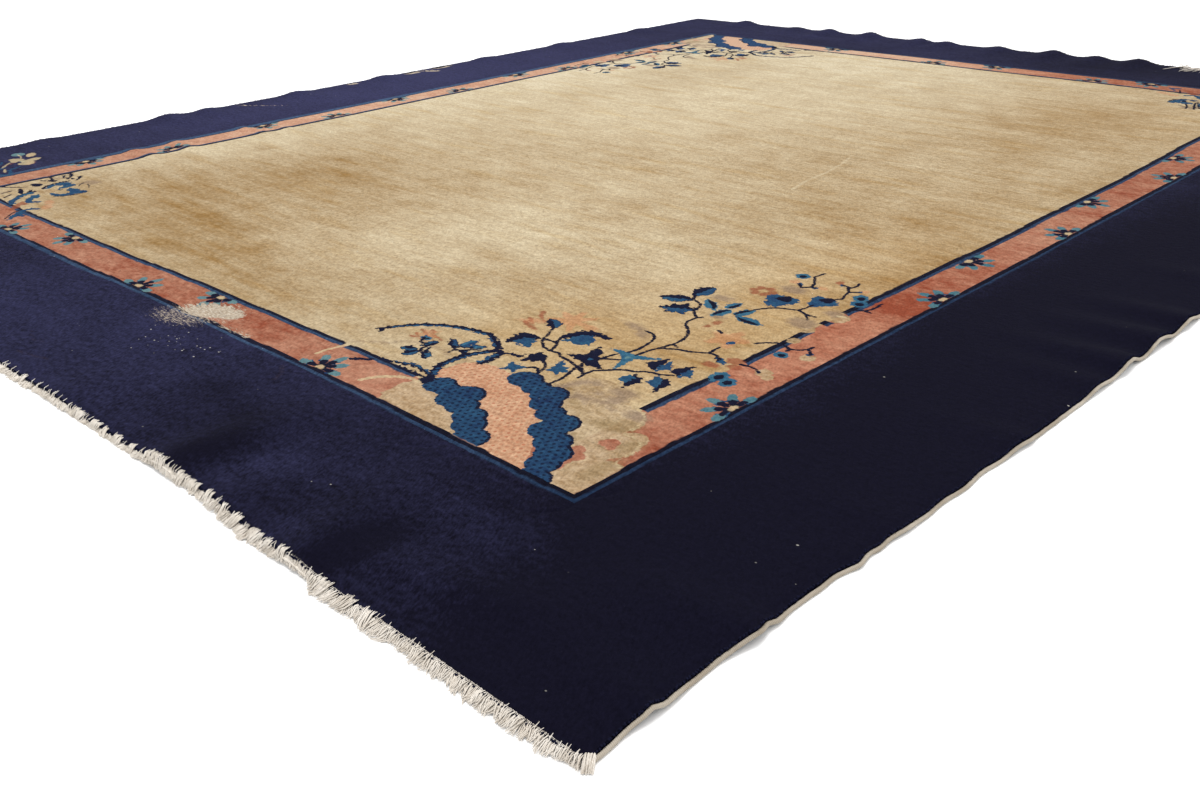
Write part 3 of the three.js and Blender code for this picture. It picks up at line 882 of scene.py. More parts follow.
bm = slab(TILE_COLUMNS, TILE_ROWS, PILE_WIDTH, PILE_LENGTH, PILE_THICKNESS)
print(len(bm.faces), "tiles of", round(PILE_WIDTH / TILE_COLUMNS), "mm")


# %% Finer tiles where they are needed
def from_edge(x, y):
    return np.minimum(HALF_WIDTH - abs(x), HALF_LENGTH - abs(y))


def refine(bm, wanted, label):
    """Cuts in half every edge of the faces that the test picks by their middles."""
    faces = bm.faces[:]
    middles = np.array([face.calc_center_median() for face in faces])
    picked = np.nonzero(wanted(*middles.T))[0]
    edges = {edge for k in picked for edge in faces[k].edges}
    bmesh.ops.subdivide_edges(bm, edges=list(edges), cuts=1, use_grid_fill=True)
    print(f"{label}: {len(picked)} faces cut, {len(bm.faces)} now")


def motif_within(x, y, reach):
    return np.max([value > -reach for value in drawn(x, y).values()], axis=0)


def to_outline(x, y, skipped=()):
    found = drawn(x, y)
    return np.min([abs(found[wool]) for wool in WOOLS if wool not in skipped], axis=0)


TOP = PILE_THICKNESS - 1  # what is higher belongs to the face of the pile
refine(bm, lambda x, y, z: (z > TOP) | (from_edge(x, y) < 60), "28 mm")
refine(bm, lambda x, y, z: (from_edge(x, y) < 30) | (z > TOP) & (
    (lift(x, y) > 0.1) | motif_within(x, y, 24)), "14 mm")
refine(bm, lambda x, y, z: (z > 1) & (from_edge(x, y) < 16) | (z > TOP) & (
    to_outline(x, y) < 13), "7 mm")
refine(bm, lambda x, y, z: (z > TOP) & (from_edge(x, y) > 8) & (
    to_outline(x, y, BLURRED) < 4.3), "3.5 mm")
bm.normal_update()
pile_mesh = bpy.data.meshes.new("rug_pile")
bm.to_mesh(pile_mesh)
bm.free()
print(sum(len(face.vertices) - 2 for face in pile_mesh.polygons), "triangles in the pile")


# %% The drawing, stored at the tiles' corners
def corners_of(mesh):
    places = np.zeros((len(mesh.vertices), 3))
    mesh.vertices.foreach_get("co", places.reshape(-1))
    return places


def store(mesh, name, value):
    column = mesh.attributes.new(name, "FLOAT", "POINT")
    column.data.foreach_set("value", value.astype(np.float32))


flat_x, flat_y, over = corners_of(pile_mesh).T
distances = drawn(flat_x, flat_y)
for wool, value in distances.items():
    store(pile_mesh, wool, value)

loop_corners = np.zeros(len(pile_mesh.loops), np.int32)
pile_mesh.loops.foreach_get("vertex_index", loop_corners)
in_metres = np.stack(woven(flat_x, flat_y), axis=1)[loop_corners] / 1000
weave_map = pile_mesh.uv_layers.new(name="flat")
weave_map.data.foreach_set("uv", in_metres.astype(np.float32).reshape(-1))
print(len(distances), "wools stored at", len(flat_x), "corners")

# %% Clouds of fading, the border's painted light and shade, and the band's lines
FADES = [  # on the field: middle, reach, and how much browner (or, below 0, lighter) it is
    (-450, -800, 420, 420, 0.49), (-150, -1180, 600, 160, 0.40), (760, -260, 300, 380, 0.40),
    (720, 700, 320, 650, 0.35), (150, -380, 300, 300, 0.15), (-930, -100, 260, 1500, -0.42),
    (-250, 500, 420, 700, -0.28), (230, -760, 260, 220, -0.2), (-60, -120, 200, 130, 0.18),
    (330, -560, 60, 30, 0.25), (-790, -683, 22, 16, 0.6), (218, -568, 16, 12, 0.7),
    (299, -466, 14, 12, 0.7), (1000, -450, 90, 260, 0.45), (640, -1000, 230, 170, 0.25),
    (900, -900, 130, 240, 0.24), (400, -900, 160, 160, 0.18), (-850, -1060, 200, 180, 0.3),
    (150, -1250, 130, 80, 0.24), (400, 80, 190, 230, 0.22), (-820, -250, 160, 300, 0.18),
    (150, 300, 180, 200, 0.12), (-600, 720, 200, 260, 0.14), (-300, 1180, 560, 240, -0.35),
    (650, 30, 120, 300, -0.12), (-850, -1250, 140, 90, 0.34), (-850, 750, 200, 300, -0.18),
    (935, 280, 50, 200, 0.3), (-950, 1260, 160, 130, -0.45),
]
WARMTH = [  # the same, and how much warmer the field's tan or the band's coral is
    (900, -780, 220, 460, 0.9), (680, -1080, 200, 160, 0.6), (400, 1350, 330, 60, 0.95),
    (700, 900, 350, 350, 0.22),
]
BLUSHES = [  # on the band: the same, and how much paler (or, below 0, redder) it is
    (1010, -900, 120, 260, 0.13), (1010, -520, 90, 120, -0.14), (1010, -150, 100, 190, 0.07),
    (1010, 300, 100, 300, -0.08), (260, -1345, 130, 60, -0.12), (30, -1345, 90, 60, -0.06),
    (560, -1345, 130, 80, 0.14), (-280, -1345, 120, 60, -0.03), (-1005, -350, 300, 750, 0.58),
    (-1005, 800, 300, 700, 0.5), (-400, 1340, 420, 120, 0.85), (150, 1340, 260, 120, 0.25),
    (500, 1340, 180, 120, -0.02), (-1005, 1150, 200, 200, 0.3), (1035, -600, 45, 70, -0.2),
    (1030, -350, 45, 55, -0.16), (1015, -1250, 60, 60, -0.12), (1000, -620, 50, 90, -0.08),
]
# Painted light and shade on the navy border: bluer towards the far and left limbs, where the
# wool's sheen shows at a low angle; blacker along the near right limb and its corner; and narrow
# lighter and darker rows beside the folds of the near limb, their lit and shaded sides.
BORDER_PAINTED_LIGHT = [  # on the border: the same, and how much bluer (or, below 0, blacker) it is
    (1250, -500, 300, 1500, -0.54), (820, -1560, 330, 250, -0.34), (-1250, 100, 420, 1150, 0.5),
    (-800, 1560, 560, 260, 0.1), (520, 1600, 420, 260, -0.32), (525, -1540, 200, 110, -0.1),
    (-350, -1440, 260, 60, -0.14), (1000, -1570, 160, 150, 0.1), (-1350, -450, 60, 700, -0.15),
    (150, -1450, 110, 60, 0.14), (-900, -1500, 400, 200, 0.1), (1340, -1640, 120, 100, -0.3),
    (1250, -1350, 200, 220, -0.2), (622, -1640, 34, 70, -0.2), (575, -1540, 46, 45, -0.12),
    (712, -1600, 42, 75, 0.22), (800, -1570, 70, 60, 0.14), (868, -1645, 36, 40, 0.14),
    (955, -1630, 26, 70, -0.26), (1050, -1620, 46, 55, 0.1), (1000, -1500, 160, 50, 0.13),
    (455, -1510, 56, 60, -0.14), (700, -1510, 110, 40, 0.08),
]


def smudge(rows, x, y):
    return sum(much * np.exp(-(((x - at_x) / reach_x) ** 2) - ((y - at_y) / reach_y) ** 2)
               for at_x, at_y, reach_x, reach_y, much in rows)


def bow(x, y, table):
    """How far the lines of the side limb and of the end limb next to a point swing."""
    side = np.where(x > 0, np.interp(y, *table["right"]), np.interp(y, *table["left"]))
    end = np.where(y < 0, np.interp(x, *table["near"]), np.interp(x, *table["far"]))
    return side, end


NEAR_NAVY_WIDENS = ([-400, 100], [0, 3.6])


def line_places(x, y):
    """The numbers of LINES for the limb next to a point."""
    side, end = abs(x) / abs(BAND["right"]), abs(y) / abs(BAND["near"])
    limb = np.where(side > end - 0.02, np.where(x > 0, 0, 1), np.where(y < 0, 2, 3))
    places = np.array([LINES[name] for name in ("right", "left", "near", "far")])[limb].T
    places[1] -= np.where(limb == 2, np.interp(x, *NEAR_NAVY_WIDENS), 0)
    return places


GROUND = ["fade", "warm", "blush", "dusk", "wave_side", "wave_end", "inner_side", "inner_end",
          "line_1", "line_2", "line_3", "line_4", "line_5"]
smudges = [smudge(rows, flat_x, flat_y) for rows in (FADES, WARMTH, BLUSHES, BORDER_PAINTED_LIGHT)]
for name, value in zip(GROUND, (*smudges, *bow(flat_x, flat_y, BOWS),
                                *bow(flat_x, flat_y, INNER_BOWS),
                                *line_places(flat_x, flat_y))):
    store(pile_mesh, name, value)
print(len(GROUND), "more columns for the plain parts")

# %% The lie of the cloth
CARVED = ["tan", "peach", "rock", "navy", "blue", "teal", "pale", "ink", "coral"]
GROOVE_DEPTH, GROOVE_REACH = 1.1, 3.2
WORN_DEPTH, CREASE_DEPTH = 4.5, 1.2
TRIM_DEPTH, TRIM_REACH = 2.2, 3.0
SWELL = 0.5  # how unevenly high the wool is clipped


def ramp(distance, soft):
    return np.clip(distance / soft + 0.5, 0, 1)


def lay(mesh, places):
    mesh.vertices.foreach_set("co", places.astype(np.float32).reshape(-1))
    mesh.update()


outline = np.min([abs(distances[wool]) for wool in CARVED], axis=0)
groove = GROOVE_DEPTH * np.exp(-((outline / GROOVE_REACH) ** 2))
worn = WORN_DEPTH * ramp(distances["bare"], 12) + CREASE_DEPTH * ramp(distances["crease"], 4)
sway = (SWELL * np.sin(flat_x / 97 + 1.7 * np.sin(flat_y / 143))
        * np.sin(flat_y / 118 + np.sin(flat_x / 171)))
trim = TRIM_DEPTH * np.exp(-(from_edge(flat_x, flat_y) / TRIM_REACH) ** 2)
height = np.where(over > TOP, over - np.maximum(groove, worn) + sway - trim, over)
places = laid(flat_x, flat_y, height)
pile_mesh.shade_smooth()
lay(pile_mesh, places)
print("pile reaches", places.min(0).round(4), places.max(0).round(4))

# %% [markdown]
# ## Wool
# Clipped wool is soft and dull: light sinks between the tufts, and only a faint
# bloom comes back at a low angle, which the sheen gives. On the navy border and
# the rocks that bloom is painted into the colour as well, brighter towards the far
# left, together with a painted shade along the near right limb and on the shaded
# sides of the folds. Every knot took its dye a little differently, whole rows are a
# shade off, and the field has faded in clouds and streaks along the weft. The plain
# parts of the pattern, border, band and lines, are worked out in the shader from the
# flat rug's own map. The drawn parts come from the stored distances, cut at the
# scale of a knot.

# %% Knots
wool = Finish("wool_pile")
map_x, map_y, _ = wool.split(wool.node("ShaderNodeUVMap", {"uv_map": "flat"}))
x, y = map_x * 1000, map_y * 1000
KNOT = 3.4
SNAPPED = 0.7  # how far the lines follow the knots instead of running smooth
cell_x, cell_y = (x / KNOT).floor(), (y / KNOT).floor()
knot_noise = wool.node("ShaderNodeTexWhiteNoise", {"noise_dimensions": "2D"},
                       {"Vector": wool.join(cell_x, cell_y)}, output="Color")
knot_one, knot_two, knot_three = wool.split(knot_noise)
step_x = (cell_x + 0.5) * KNOT * SNAPPED + x * (1 - SNAPPED)
step_y = (cell_y + 0.5) * KNOT * SNAPPED + y * (1 - SNAPPED)
print("knots of", KNOT, "mm")


# %% Noises: how a dye takes, a row is beaten in or a tuft leans
def soft_noise(size_x, size_y, detail=2.0, at=0.0, roughness=0.5):
    """Noise from 0 to 1 in patches of that many millimetres."""
    return wool.noise(wool.join(x / size_x + at, y / size_y + at), detail, roughness)


def uneven(*noises):
    """Noises that swing round 0, each with its share, added up."""
    return sum((noise - 0.5) * share for noise, share in noises)


blotch = soft_noise(420, 300, 3, 1.0)
cloud = soft_noise(110, 75, 4, 2.0, 0.62)
streak = soft_noise(190, 16, 3, 3.0, 0.6)
weft_band = soft_noise(250, 38, 3, 23.0, 0.6)
warp_mark = soft_noise(18, 170, 2, 4.0, 0.6)
curl = soft_noise(13, 9, 2, 5.0, 0.6)
grain = soft_noise(3.2, 2.6, 1, 6.0)
row_tone = soft_noise(700, 5.5, 1, 9.0)
brush = soft_noise(46, 30, 3, 19.0, 0.65)
LEAN_X, LEAN_Y = 0.88, 0.48  # which way the tufts lean
nap_x, nap_y = (x * LEAN_X + y * LEAN_Y) / 3.0, (x * LEAN_Y - y * LEAN_X) / 9.0
nap = wool.noise(wool.join(nap_x, nap_y), 2.0, 0.6)
print("noises from", KNOT, "to 700 mm")

# %% Where the border ends and the field starts
stored = {name: wool.node("ShaderNodeAttribute", {"attribute_name": name}, output="Fac")
          for name in GROUND + WOOLS}
fade, warm, blush, dusk, wave_side, wave_end, inner_side, inner_end, *line_at = (
    stored[name] for name in GROUND)
waver = soft_noise(120, 120, 1, 7.0) * 4 - 2 + soft_noise(24, 24, 2, 8.0) * 4 - 2
from_right, from_left = BAND["right"] - step_x + wave_side, step_x - BAND["left"] - wave_side
from_near, from_far = step_y - BAND["near"] - wave_end, BAND["far"] - step_y + wave_end
d_side = from_right.least(from_left * NARROWER["left"])
d_end = (from_near * NARROWER["near"]).least(from_far * NARROWER["far"])
d = d_side.least(d_end) + waver
d_inner = (d_side + inner_side).least(d_end + inner_end) + waver
print("distance from the band's outer line to any point")

# %% Ground colours: border, lines, band and field
mottling = uneven((blotch, 0.5), (cloud, 0.5), (streak, 0.25), (curl, 0.7), (nap, 0.8),
                  (brush, 0.3))
# The border's navy runs from deep to blue with the stored painted light and shade (sheen towards
# the far and left limbs, darker near right limb, lit and shaded fold sides) and with the wool's
# own mottling.
border_light_and_mottling = (dusk + 0.42 + mottling * (dusk * 2 + 1.15).clamped()).clamped()
border = wool.mix(border_light_and_mottling, NAVY_DEEP, NAVY_BLUE)

light = 0.6 - fade * 0.75 + uneven(
    (blotch, 0.4), (cloud, 0.66), (streak, 0.36), (warp_mark, 0.15), (weft_band, 0.42),
    (curl, 0.4), (brush, 0.3))
field = wool.mix(light.clamped(), tone(149, 117, 73), tone(216, 201, 170))
field = wool.mix(((light - 0.9) * 1.6).clamped(), field, tone(222, 209, 186))
field = wool.mix((warm * 0.9).clamped(), field, (1.0, 0.88, 0.70, 1), "MULTIPLY")
field = wool.mix(((0.46 - weft_band) * 5).clamped(), field, (1.0, 0.95, 0.84, 1), "MULTIPLY")

paleness = blush + 0.28 + uneven(
    (cloud, 0.65), (streak, 0.25), (brush, 0.85), (curl, 0.5), (blotch, 0.25))
coral = wool.mix(paleness.clamped(), tone(142, 75, 54), tone(207, 163, 135))
coral = wool.mix(((paleness - 0.85) * 1.6).clamped(), coral, tone(212, 186, 161))
coral = wool.mix(warm.clamped(), coral, (1.0, 0.85, 0.78, 1), "MULTIPLY")
# The lines' blue and navy carry the same painted light and shade.
line_blue = wool.mix(border_light_and_mottling, tone(30, 47, 73), tone(72, 94, 124))
line_navy = wool.mix(border_light_and_mottling, tone(16, 15, 28), tone(34, 36, 57))

gap = stored["gap"].edge()
colour = wool.mix((d - line_at[0]).edge(1.2), border, line_blue)
colour = wool.mix((d - line_at[1]).edge(0.8), colour, line_navy)
colour = wool.mix(d.edge(), colour, coral)
colour = wool.mix((d_inner - line_at[2]).edge() * (1 - gap), colour, line_blue)
colour = wool.mix((d_inner - line_at[3]).edge(0.8) * (1 - gap), colour, line_navy)
colour = wool.mix((d_inner - line_at[4] + gap * 8).edge(), colour, field)
print("border, two outer lines, band, two inner lines, field")

# %% Drawn colours, painted one over the other
jitter = (knot_one - 0.5) * 1.6
ragged = (soft_noise(9, 7, 1, 17.0) - 0.5) * 7

DOT_X, DOT_Y, DOT_RADIUS = 11.0, 9.0, 2.5  # pitch and radius of the dots on the rocks
dot_x, dot_y = x / DOT_X, y / DOT_Y
in_x = dot_x + dot_y.floor() * 0.5
in_x, in_y = in_x - in_x.floor() - 0.5, dot_y - dot_y.floor() - 0.5
off_dot = (in_x * in_x * DOT_X ** 2 + in_y * in_y * DOT_Y ** 2).math("SQRT")
dot = (DOT_RADIUS - off_dot).edge(0.7)

# Painted sheen: the rock and blue wools turn lighter and bluer towards the far left, where the
# wool catches the light at a low angle.
painted_far_sheen = (x * -0.0011).clamped() * (y * 0.0012 + 0.2).clamped()
blend = ((cloud + curl) * 1.7 - 1.2).clamped()
tan_wool = wool.mix(((cloud + curl) * 1.2 - 0.7 - fade).clamped(), tone(158, 128, 88),
                    tone(204, 184, 154))
peach_wool = wool.mix(blend, tone(184, 130, 98), tone(206, 168, 136))
peach_wool = wool.mix((fade * -2).clamped(), peach_wool, tone(214, 178, 150))
peach_dots = dot * (curl * 3 - 0.9).clamped() * 0.75
peach_wool = wool.mix(peach_dots, peach_wool, tone(162, 90, 62))
rock_wool = wool.mix(blend, tone(28, 44, 78), tone(42, 78, 108))
rock_wool = wool.mix(painted_far_sheen * 0.8, rock_wool, tone(50, 80, 120))
rock_wool = wool.mix(dot * 0.8, rock_wool, tone(20, 24, 46))
blue_wool = wool.mix(blend, tone(34, 58, 96), tone(46, 86, 112))
blue_wool = wool.mix(painted_far_sheen * 0.8, blue_wool, tone(60, 84, 118))
teal_wool = wool.mix(blend, tone(40, 84, 116), tone(66, 110, 128))
# The pale petals shift with the border's painted light and shade too.
pale_wool = wool.mix((blend * 0.6 + 0.3 - dusk).clamped(), tone(122, 148, 146),
                     tone(68, 108, 120))
PAINTS = {  # wool: colour, how fully it covers, kept inside the band, how ragged, how soft
    "tan": (tan_wool, 0.9, True, 1, 1), "olive": (tone(132, 108, 68), 0.5, True, 1, 6),
    "lavender": (tone(136, 115, 98), 0.7, True, 2, 5), "coral": (coral, 0.95, True, 1, 1),
    "peach": (peach_wool, 1.0, True, 1, 1), "russet": (tone(142, 78, 54), 0.8, False, 1, 2),
    "rose": (tone(196, 124, 88), 0.4, False, 2, 3), "rock": (rock_wool, 1.0, True, 0.6, 0.6),
    "navy": (tone(23, 25, 46), 1.0, False, 2, 0.6), "blue": (blue_wool, 1.0, False, 2, 0.6),
    "teal": (teal_wool, 1.0, False, 1.4, 0.6), "pale": (pale_wool, 1.0, False, 0.6, 0.6),
    "ink": (tone(22, 23, 42), 1.0, True, 0, 0.6),
    "cream": (tone(200, 180, 142), 0.75, False, 0.6, 1.2),
    # Painted shade in the creases of folds, and a painted highlight on their crests:
    "crease": (tone(70, 52, 34), 0.16, False, 0, 1.6),
    "crest": (tone(232, 220, 190), 0.4, False, 0, 2.4),
}
inside_band = d.edge()
for name, (paint, cover, kept_in, raggedness, soft) in PAINTS.items():
    covered = (stored[name] + jitter + ragged * raggedness).edge(soft) * cover
    colour = wool.mix(covered * inside_band if kept_in else covered, colour, paint)
print(len(PAINTS), "wools painted")

# %% Wear and stray knots
fray = soft_noise(16, 5, 3, 11.0, 0.7)
lash = soft_noise(9, 2.6, 2, 13.0, 0.7)
bare_mask = (stored["bare"] + (fray - 0.5) * 46 - 1).edge(2.5)
thin_out = (stored["thin"] + (fray - 0.5) * 40).edge(9.0) + (lash - 0.5) * 5 - 0.72
thin_mask = thin_out.clamped() * (stored["thin"] + 12).edge(6)
cotton = wool.mix((lash * 2.5 - 0.8).clamped(), tone(158, 138, 114), tone(212, 202, 186))
colour = wool.mix(thin_mask * 0.8, colour, tone(200, 184, 164))
colour = wool.mix(bare_mask, colour, cotton)

WEAR_X, WEAR_Y, WEAR_REACH_X, WEAR_REACH_Y = 255, -1462, 130, 68  # where stray knots crowd
spot = {"Vector": wool.join(x / 12, y / 9), "Scale": 1.0}
spot_settings = {"voronoi_dimensions": "2D"}
spot_far = wool.node("ShaderNodeTexVoronoi", spot_settings, spot, output="Distance") * 10
spot_pick, spot_size, _ = wool.split(
    wool.node("ShaderNodeTexVoronoi", spot_settings, spot, output="Color"))
to_wear_x, to_wear_y = (x - WEAR_X) / WEAR_REACH_X, (y - WEAR_Y) / WEAR_REACH_Y
from_wear = (to_wear_x * to_wear_x + to_wear_y * to_wear_y).math("SQRT")
crowd = (1 - from_wear).most(0.0)
picked = (spot_pick - (0.9985 - crowd * 0.5)).edge(0.001)
stray = (spot_size * 1.1 + 0.35 - spot_far).edge(0.4) * picked
colour = wool.mix(stray * 0.8, colour, tone(190, 186, 176))
print("bare and thin patches, and stray knots")

# %% The knots' own tones, and the surface
knot_tone = 1 + uneven(
    (knot_two, 0.2), (curl, 0.42), (grain, 0.3), (nap, 0.72), (row_tone, 0.12))
colour = wool.mix(1.0, colour, wool.join(knot_tone, knot_tone, knot_tone), "MULTIPLY")

RELIEF = 0.0011  # metres
DULL = {"Roughness": 1.0, "Specular IOR Level": 0.02, "Sheen Weight": 0.006,
        "Sheen Roughness": 0.4, "Sheen Tint": (0.85, 0.9, 1.0, 1)}
tuft_tips = wool.noise(wool.join(x / 1.5, y / 1.2), 2.0, 0.6)
relief = (tuft_tips * 0.5 + knot_three * 0.25 + row_tone * 0.3 + curl * 1.6) * RELIEF
wool.surface({"Base Color": colour, **DULL}, relief, 0.55)
print(len(wool.tree.nodes), "nodes in the wool")

# %% [markdown]
# ## Selvedge cords
# The long sides end in a thick cord of cotton, wrapped over and over with cream
# yarn. A tube that follows the ripples gives its shape. The wraps are finer than
# its tiles, so they are a bump in the material, two millimetres apart, with a
# painted shade in the grooves between them.


# %% Tubes along paths
def threads(name, paths, radius, sides, finish):
    """Many thin closed tubes as one mesh. A path is a list of (place, thickness)."""
    curve = bpy.data.curves.new(name, "CURVE")
    curve.dimensions = "3D"
    curve.bevel_depth = radius
    curve.bevel_resolution = sides // 2 - 2
    curve.use_fill_caps = True
    for path in paths:
        spline = curve.splines.new("POLY")
        spline.points.add(len(path) - 1)
        spline.points.foreach_set("co", [v for place, _ in path for v in (*place, 1)])
        spline.points.foreach_set("radius", [thick for _, thick in path])
    strung = add(name + "_curve", curve)
    depsgraph = bpy.context.evaluated_depsgraph_get()
    mesh = bpy.data.meshes.new_from_object(strung.evaluated_get(depsgraph))
    bpy.data.objects.remove(strung)
    mesh.name = name
    mesh.materials.clear()
    mesh.shade_smooth()
    triangles = sum(len(face.vertices) - 2 for face in mesh.polygons)
    print(f"{name}: {len(paths)} tubes, {triangles} triangles")
    return add(name, mesh, finish)


# %% Cotton yarn
YARN_RELIEF = 0.0008  # metres


def cotton_finish(name, light, dark, wrap, slant, lines=0.0):
    """Cotton yarn, wrapped or twisted every `wrap` mm along Y. Its colour has a painted shade in
    the grooves between the wraps and, as much as `lines` asks, along lines between the strands.
    """
    yarn = Finish(name)
    px, py, pz = yarn.split(yarn.node("ShaderNodeTexCoord", output="Object"))
    turns = py * 1000 / wrap + (px + pz) * 1000 * slant
    ridge = (turns * math.tau).math("SINE") * 0.5 + 0.5
    dirt = yarn.noise(yarn.join(px * 60, py * 22, pz * 60), 3.0)
    fibre = yarn.noise(yarn.join(px * 900, py * 900, pz * 900), 2.0)
    across = yarn.noise(yarn.join(px * 420, py * 26, pz * 26), 2.0)
    # Painted shade: darker where the ridge dips between wraps and, by `lines`, along lines
    # between strands; the dirt noise is the yarn's own soiling.
    blend = ridge * 0.35 + (dirt - 0.35) * 1.6 + (across - 0.35) * lines
    shade = yarn.mix(blend.clamped(), dark, light)
    soft = {"Base Color": shade, "Roughness": 0.95, "Specular IOR Level": 0.15,
            "Sheen Weight": 0.1}
    return yarn.surface(soft, (ridge * 0.6 + fibre * 0.4) * YARN_RELIEF, 0.6)


cord_yarn = cotton_finish("cotton_selvedge", tone(212, 202, 186), tone(160, 146, 126),
                          wrap=2.1, slant=0.12)
print("yarn for the cords")

# %% The two cords
CORD_STEP, CORD_SIDES = 6.0, 10
SLIMMER = 0.88  # the cord's solid also stands for the loose wraps round it
chance = np.random.default_rng(5)


def wandering(count, spread, over):
    """Random numbers, each the mean of `over` neighbours."""
    return np.convolve(chance.normal(0, spread, count + over - 1), np.ones(over) / over, "valid")


def cord(name, side):
    along = np.arange(-HALF_LENGTH, HALF_LENGTH + 1, CORD_STEP)
    out = wandering(len(along), 1.0, 9) * 1.2
    places = laid(np.full_like(along, side * HALF_WIDTH), along, CORD_DIAMETER / 2)
    places[:, 0] += side * (CLEARANCE + CORD_DIAMETER / 2 + out) / 1000
    thick = 1 + 0.06 * wandering(len(along), 1.0, 3)
    path = list(zip(places.tolist(), thick.tolist()))
    return threads(name, [path], CORD_DIAMETER * SLIMMER / 2000, CORD_SIDES, cord_yarn)


selvedge_right = cord("selvedge_right", 1)
selvedge_left = cord("selvedge_left", -1)

# %% [markdown]
# ## The fringed ends
# At both ends the cotton warps stick out past the last row of knots, cut short to
# a thick brush of twisted strands. Hair particles would be quick, but they don't
# stay as a mesh. So every strand is a thin tube, and strands lean together in
# locks, sag to the floor and end unevenly. A few lie back over the wool.

# %% How a cut warp lies
STRAND_PITCH, STRAND_RADIUS = 1.3, 0.62
REACHES = {  # for each end, how far the strands reach at these places across
    -1: ([-1370, 100, 210, 300, 640, 760, 835, 876, 915, 950, 990, 1100, 1140, 1190, 1250,
          1290, 1330, 1355],
         [12, 14, 12, 9, 9, 12.5, 15, 11, 8, 6.5, 16, 16, 14, 14, 16, 14.5, 14.5, 8]),
    1: ([-1370, 1370], [15, 15]),
}
FULLER = ([850, 950], [0, 1])  # the fringe bulges to the right of here
LAYERS = [  # from the floor up: crown, share of the lock's puff, root, more of both if full
    (2.5, 0.0, 2.4, 0.3, 0.6), (4.3, 0.5, 4.2, 0.9, 1.0), (5.4, 0.7, 5.8, 1.3, 1.5)]
LOWEST_CROWN = 1.8
TOOTH, TOOTH_HIGH = 12.5, 4.5  # locks that start on top of the wool do so in teeth


def bent(start, steps, thicknesses, settle=0.0):
    """A path by steps of (aside, out, up, share of its length), in mm from its start."""
    return [((start[0] + aside / 1000, start[1] + out / 1000,
              start[2] * (1 - settle * share) + up / 1000), thick)
            for (aside, out, up, share), thick in zip(steps, thicknesses)]


def strand(x, outward, chance, lock, long, layer):
    """One cut warp, from inside the edge of the wool to its tip. Layer 0 is the lowest."""
    middle, lean, puff, tuck = lock
    climbs = layer == 2 and tuck > (1.8 if 180 < x < 880 else 2.9)
    tooth = TOOTH_HIGH * ((x / TOOTH + 0.35 * math.sin(x / 31)) % 1) ** 1.5
    inside = tooth if climbs else 0.6
    sway = (middle - x) * 0.25 + lean * long + chance.normal(0, 1.2)
    base, puffed, root, more_crown, more_root = LAYERS[layer]
    full = np.interp(x, *FULLER)
    crown = base + puffed * puff + more_crown * full
    crown = max(LOWEST_CROWN, crown + chance.normal(0, 0.6))
    curl = chance.normal(0, 0.9, 2)
    first = 9.8 + chance.uniform(0, 1.4) if climbs else root + more_root * full
    steps = [(-inside - chance.uniform(0, 1.0), first, 0), (long * 0.3, crown, 0.15),
             (long * 0.7, crown * 0.62, 0.55),
             (long, 0.9 + crown * 0.12 + chance.uniform(0, 1.2), 1.0)]
    if climbs:
        steps[1], steps[2] = (2.0, 9.4, 0.1), (long * 0.7, 5.0, 0.55)
    steps = [(sway * share + bend, outward * out, up, share)
             for (out, up, share), bend in zip(steps, (0, *curl, 0))]
    thicknesses = (0.6 if climbs else 0.9, 1.15, 1.2, 0.7)
    return bent(laid(x, outward * HALF_LENGTH), steps, thicknesses, settle=0.75)


def spike(x, outward, chance):
    """A short stray end that stands up along the wool's edge."""
    side, inward, tall = chance.normal(0.8, 2.2), chance.uniform(0, 6), chance.uniform(8.8, 12.2)
    steps = [(0, outward * 4.0, 5.0, 0), (side * 0.5, outward * 2.0, tall - 2, 0.5),
             (side, outward * -inward, tall, 1.0)]
    return bent(laid(x, outward * HALF_LENGTH), steps, (1.0, 1.0, 0.5))


print(len(LAYERS), "layers of strands, one every", STRAND_PITCH, "mm")


# %% Locks of strands, all along an end
SPIKE_PITCH = 2.4


def fringe(outward, seed, layers):
    chance = np.random.default_rng(seed)
    paths = []
    for layer in layers:
        x, lock, lock_end, cut = -HALF_WIDTH + 1, None, -HALF_WIDTH, 1.0
        while x < HALF_WIDTH - 1:
            if x >= lock_end:
                wide = chance.uniform(5, 24)
                lock = (x + wide / 2, chance.normal(0.08, 0.28), chance.uniform(-1.2, 0.8),
                        chance.uniform(-1.0, 3.4))
                lock_end = x + wide
                cut = np.clip(chance.normal(1.0, 0.17), 0.62, 1.32)
            long = np.interp(x, *REACHES[outward]) * cut * chance.uniform(0.7, 1.12)
            paths.append(strand(x, outward, chance, lock, long, layer))
            x += STRAND_PITCH * chance.uniform(0.7, 1.3)
    for x in np.arange(-HALF_WIDTH + 4, HALF_WIDTH - 4, SPIKE_PITCH):
        crowded = math.sin(x / 9) + math.sin(x / 41) > 0.3
        if chance.random() < (0.5 if crowded else 0.12) * (1 if x < 880 else 0.4):
            paths.append(spike(x, outward, chance))
    return paths


def corner_tuft(seed, count=70):
    """The tuft at the near right corner."""
    chance = np.random.default_rng(seed)
    paths = []
    for _ in range(count):
        along, spread, high = (chance.uniform(*span) for span in ((0, 1), (0.42, 0.66), (3, 11)))
        long = chance.uniform(11, 17)
        steps = [(spread * long * t, -0.8 * long * t, high - (high - 1.5) * t * t, t)
                 for t in (0, 0.35, 0.7, 1)]
        start = laid(HALF_WIDTH - 3 + 7 * along, -HALF_LENGTH + 3.5 + 7 * along)
        paths.append(bent(start, steps, (0.9, 1.2, 1.2, 0.8), settle=0.6))
    return paths


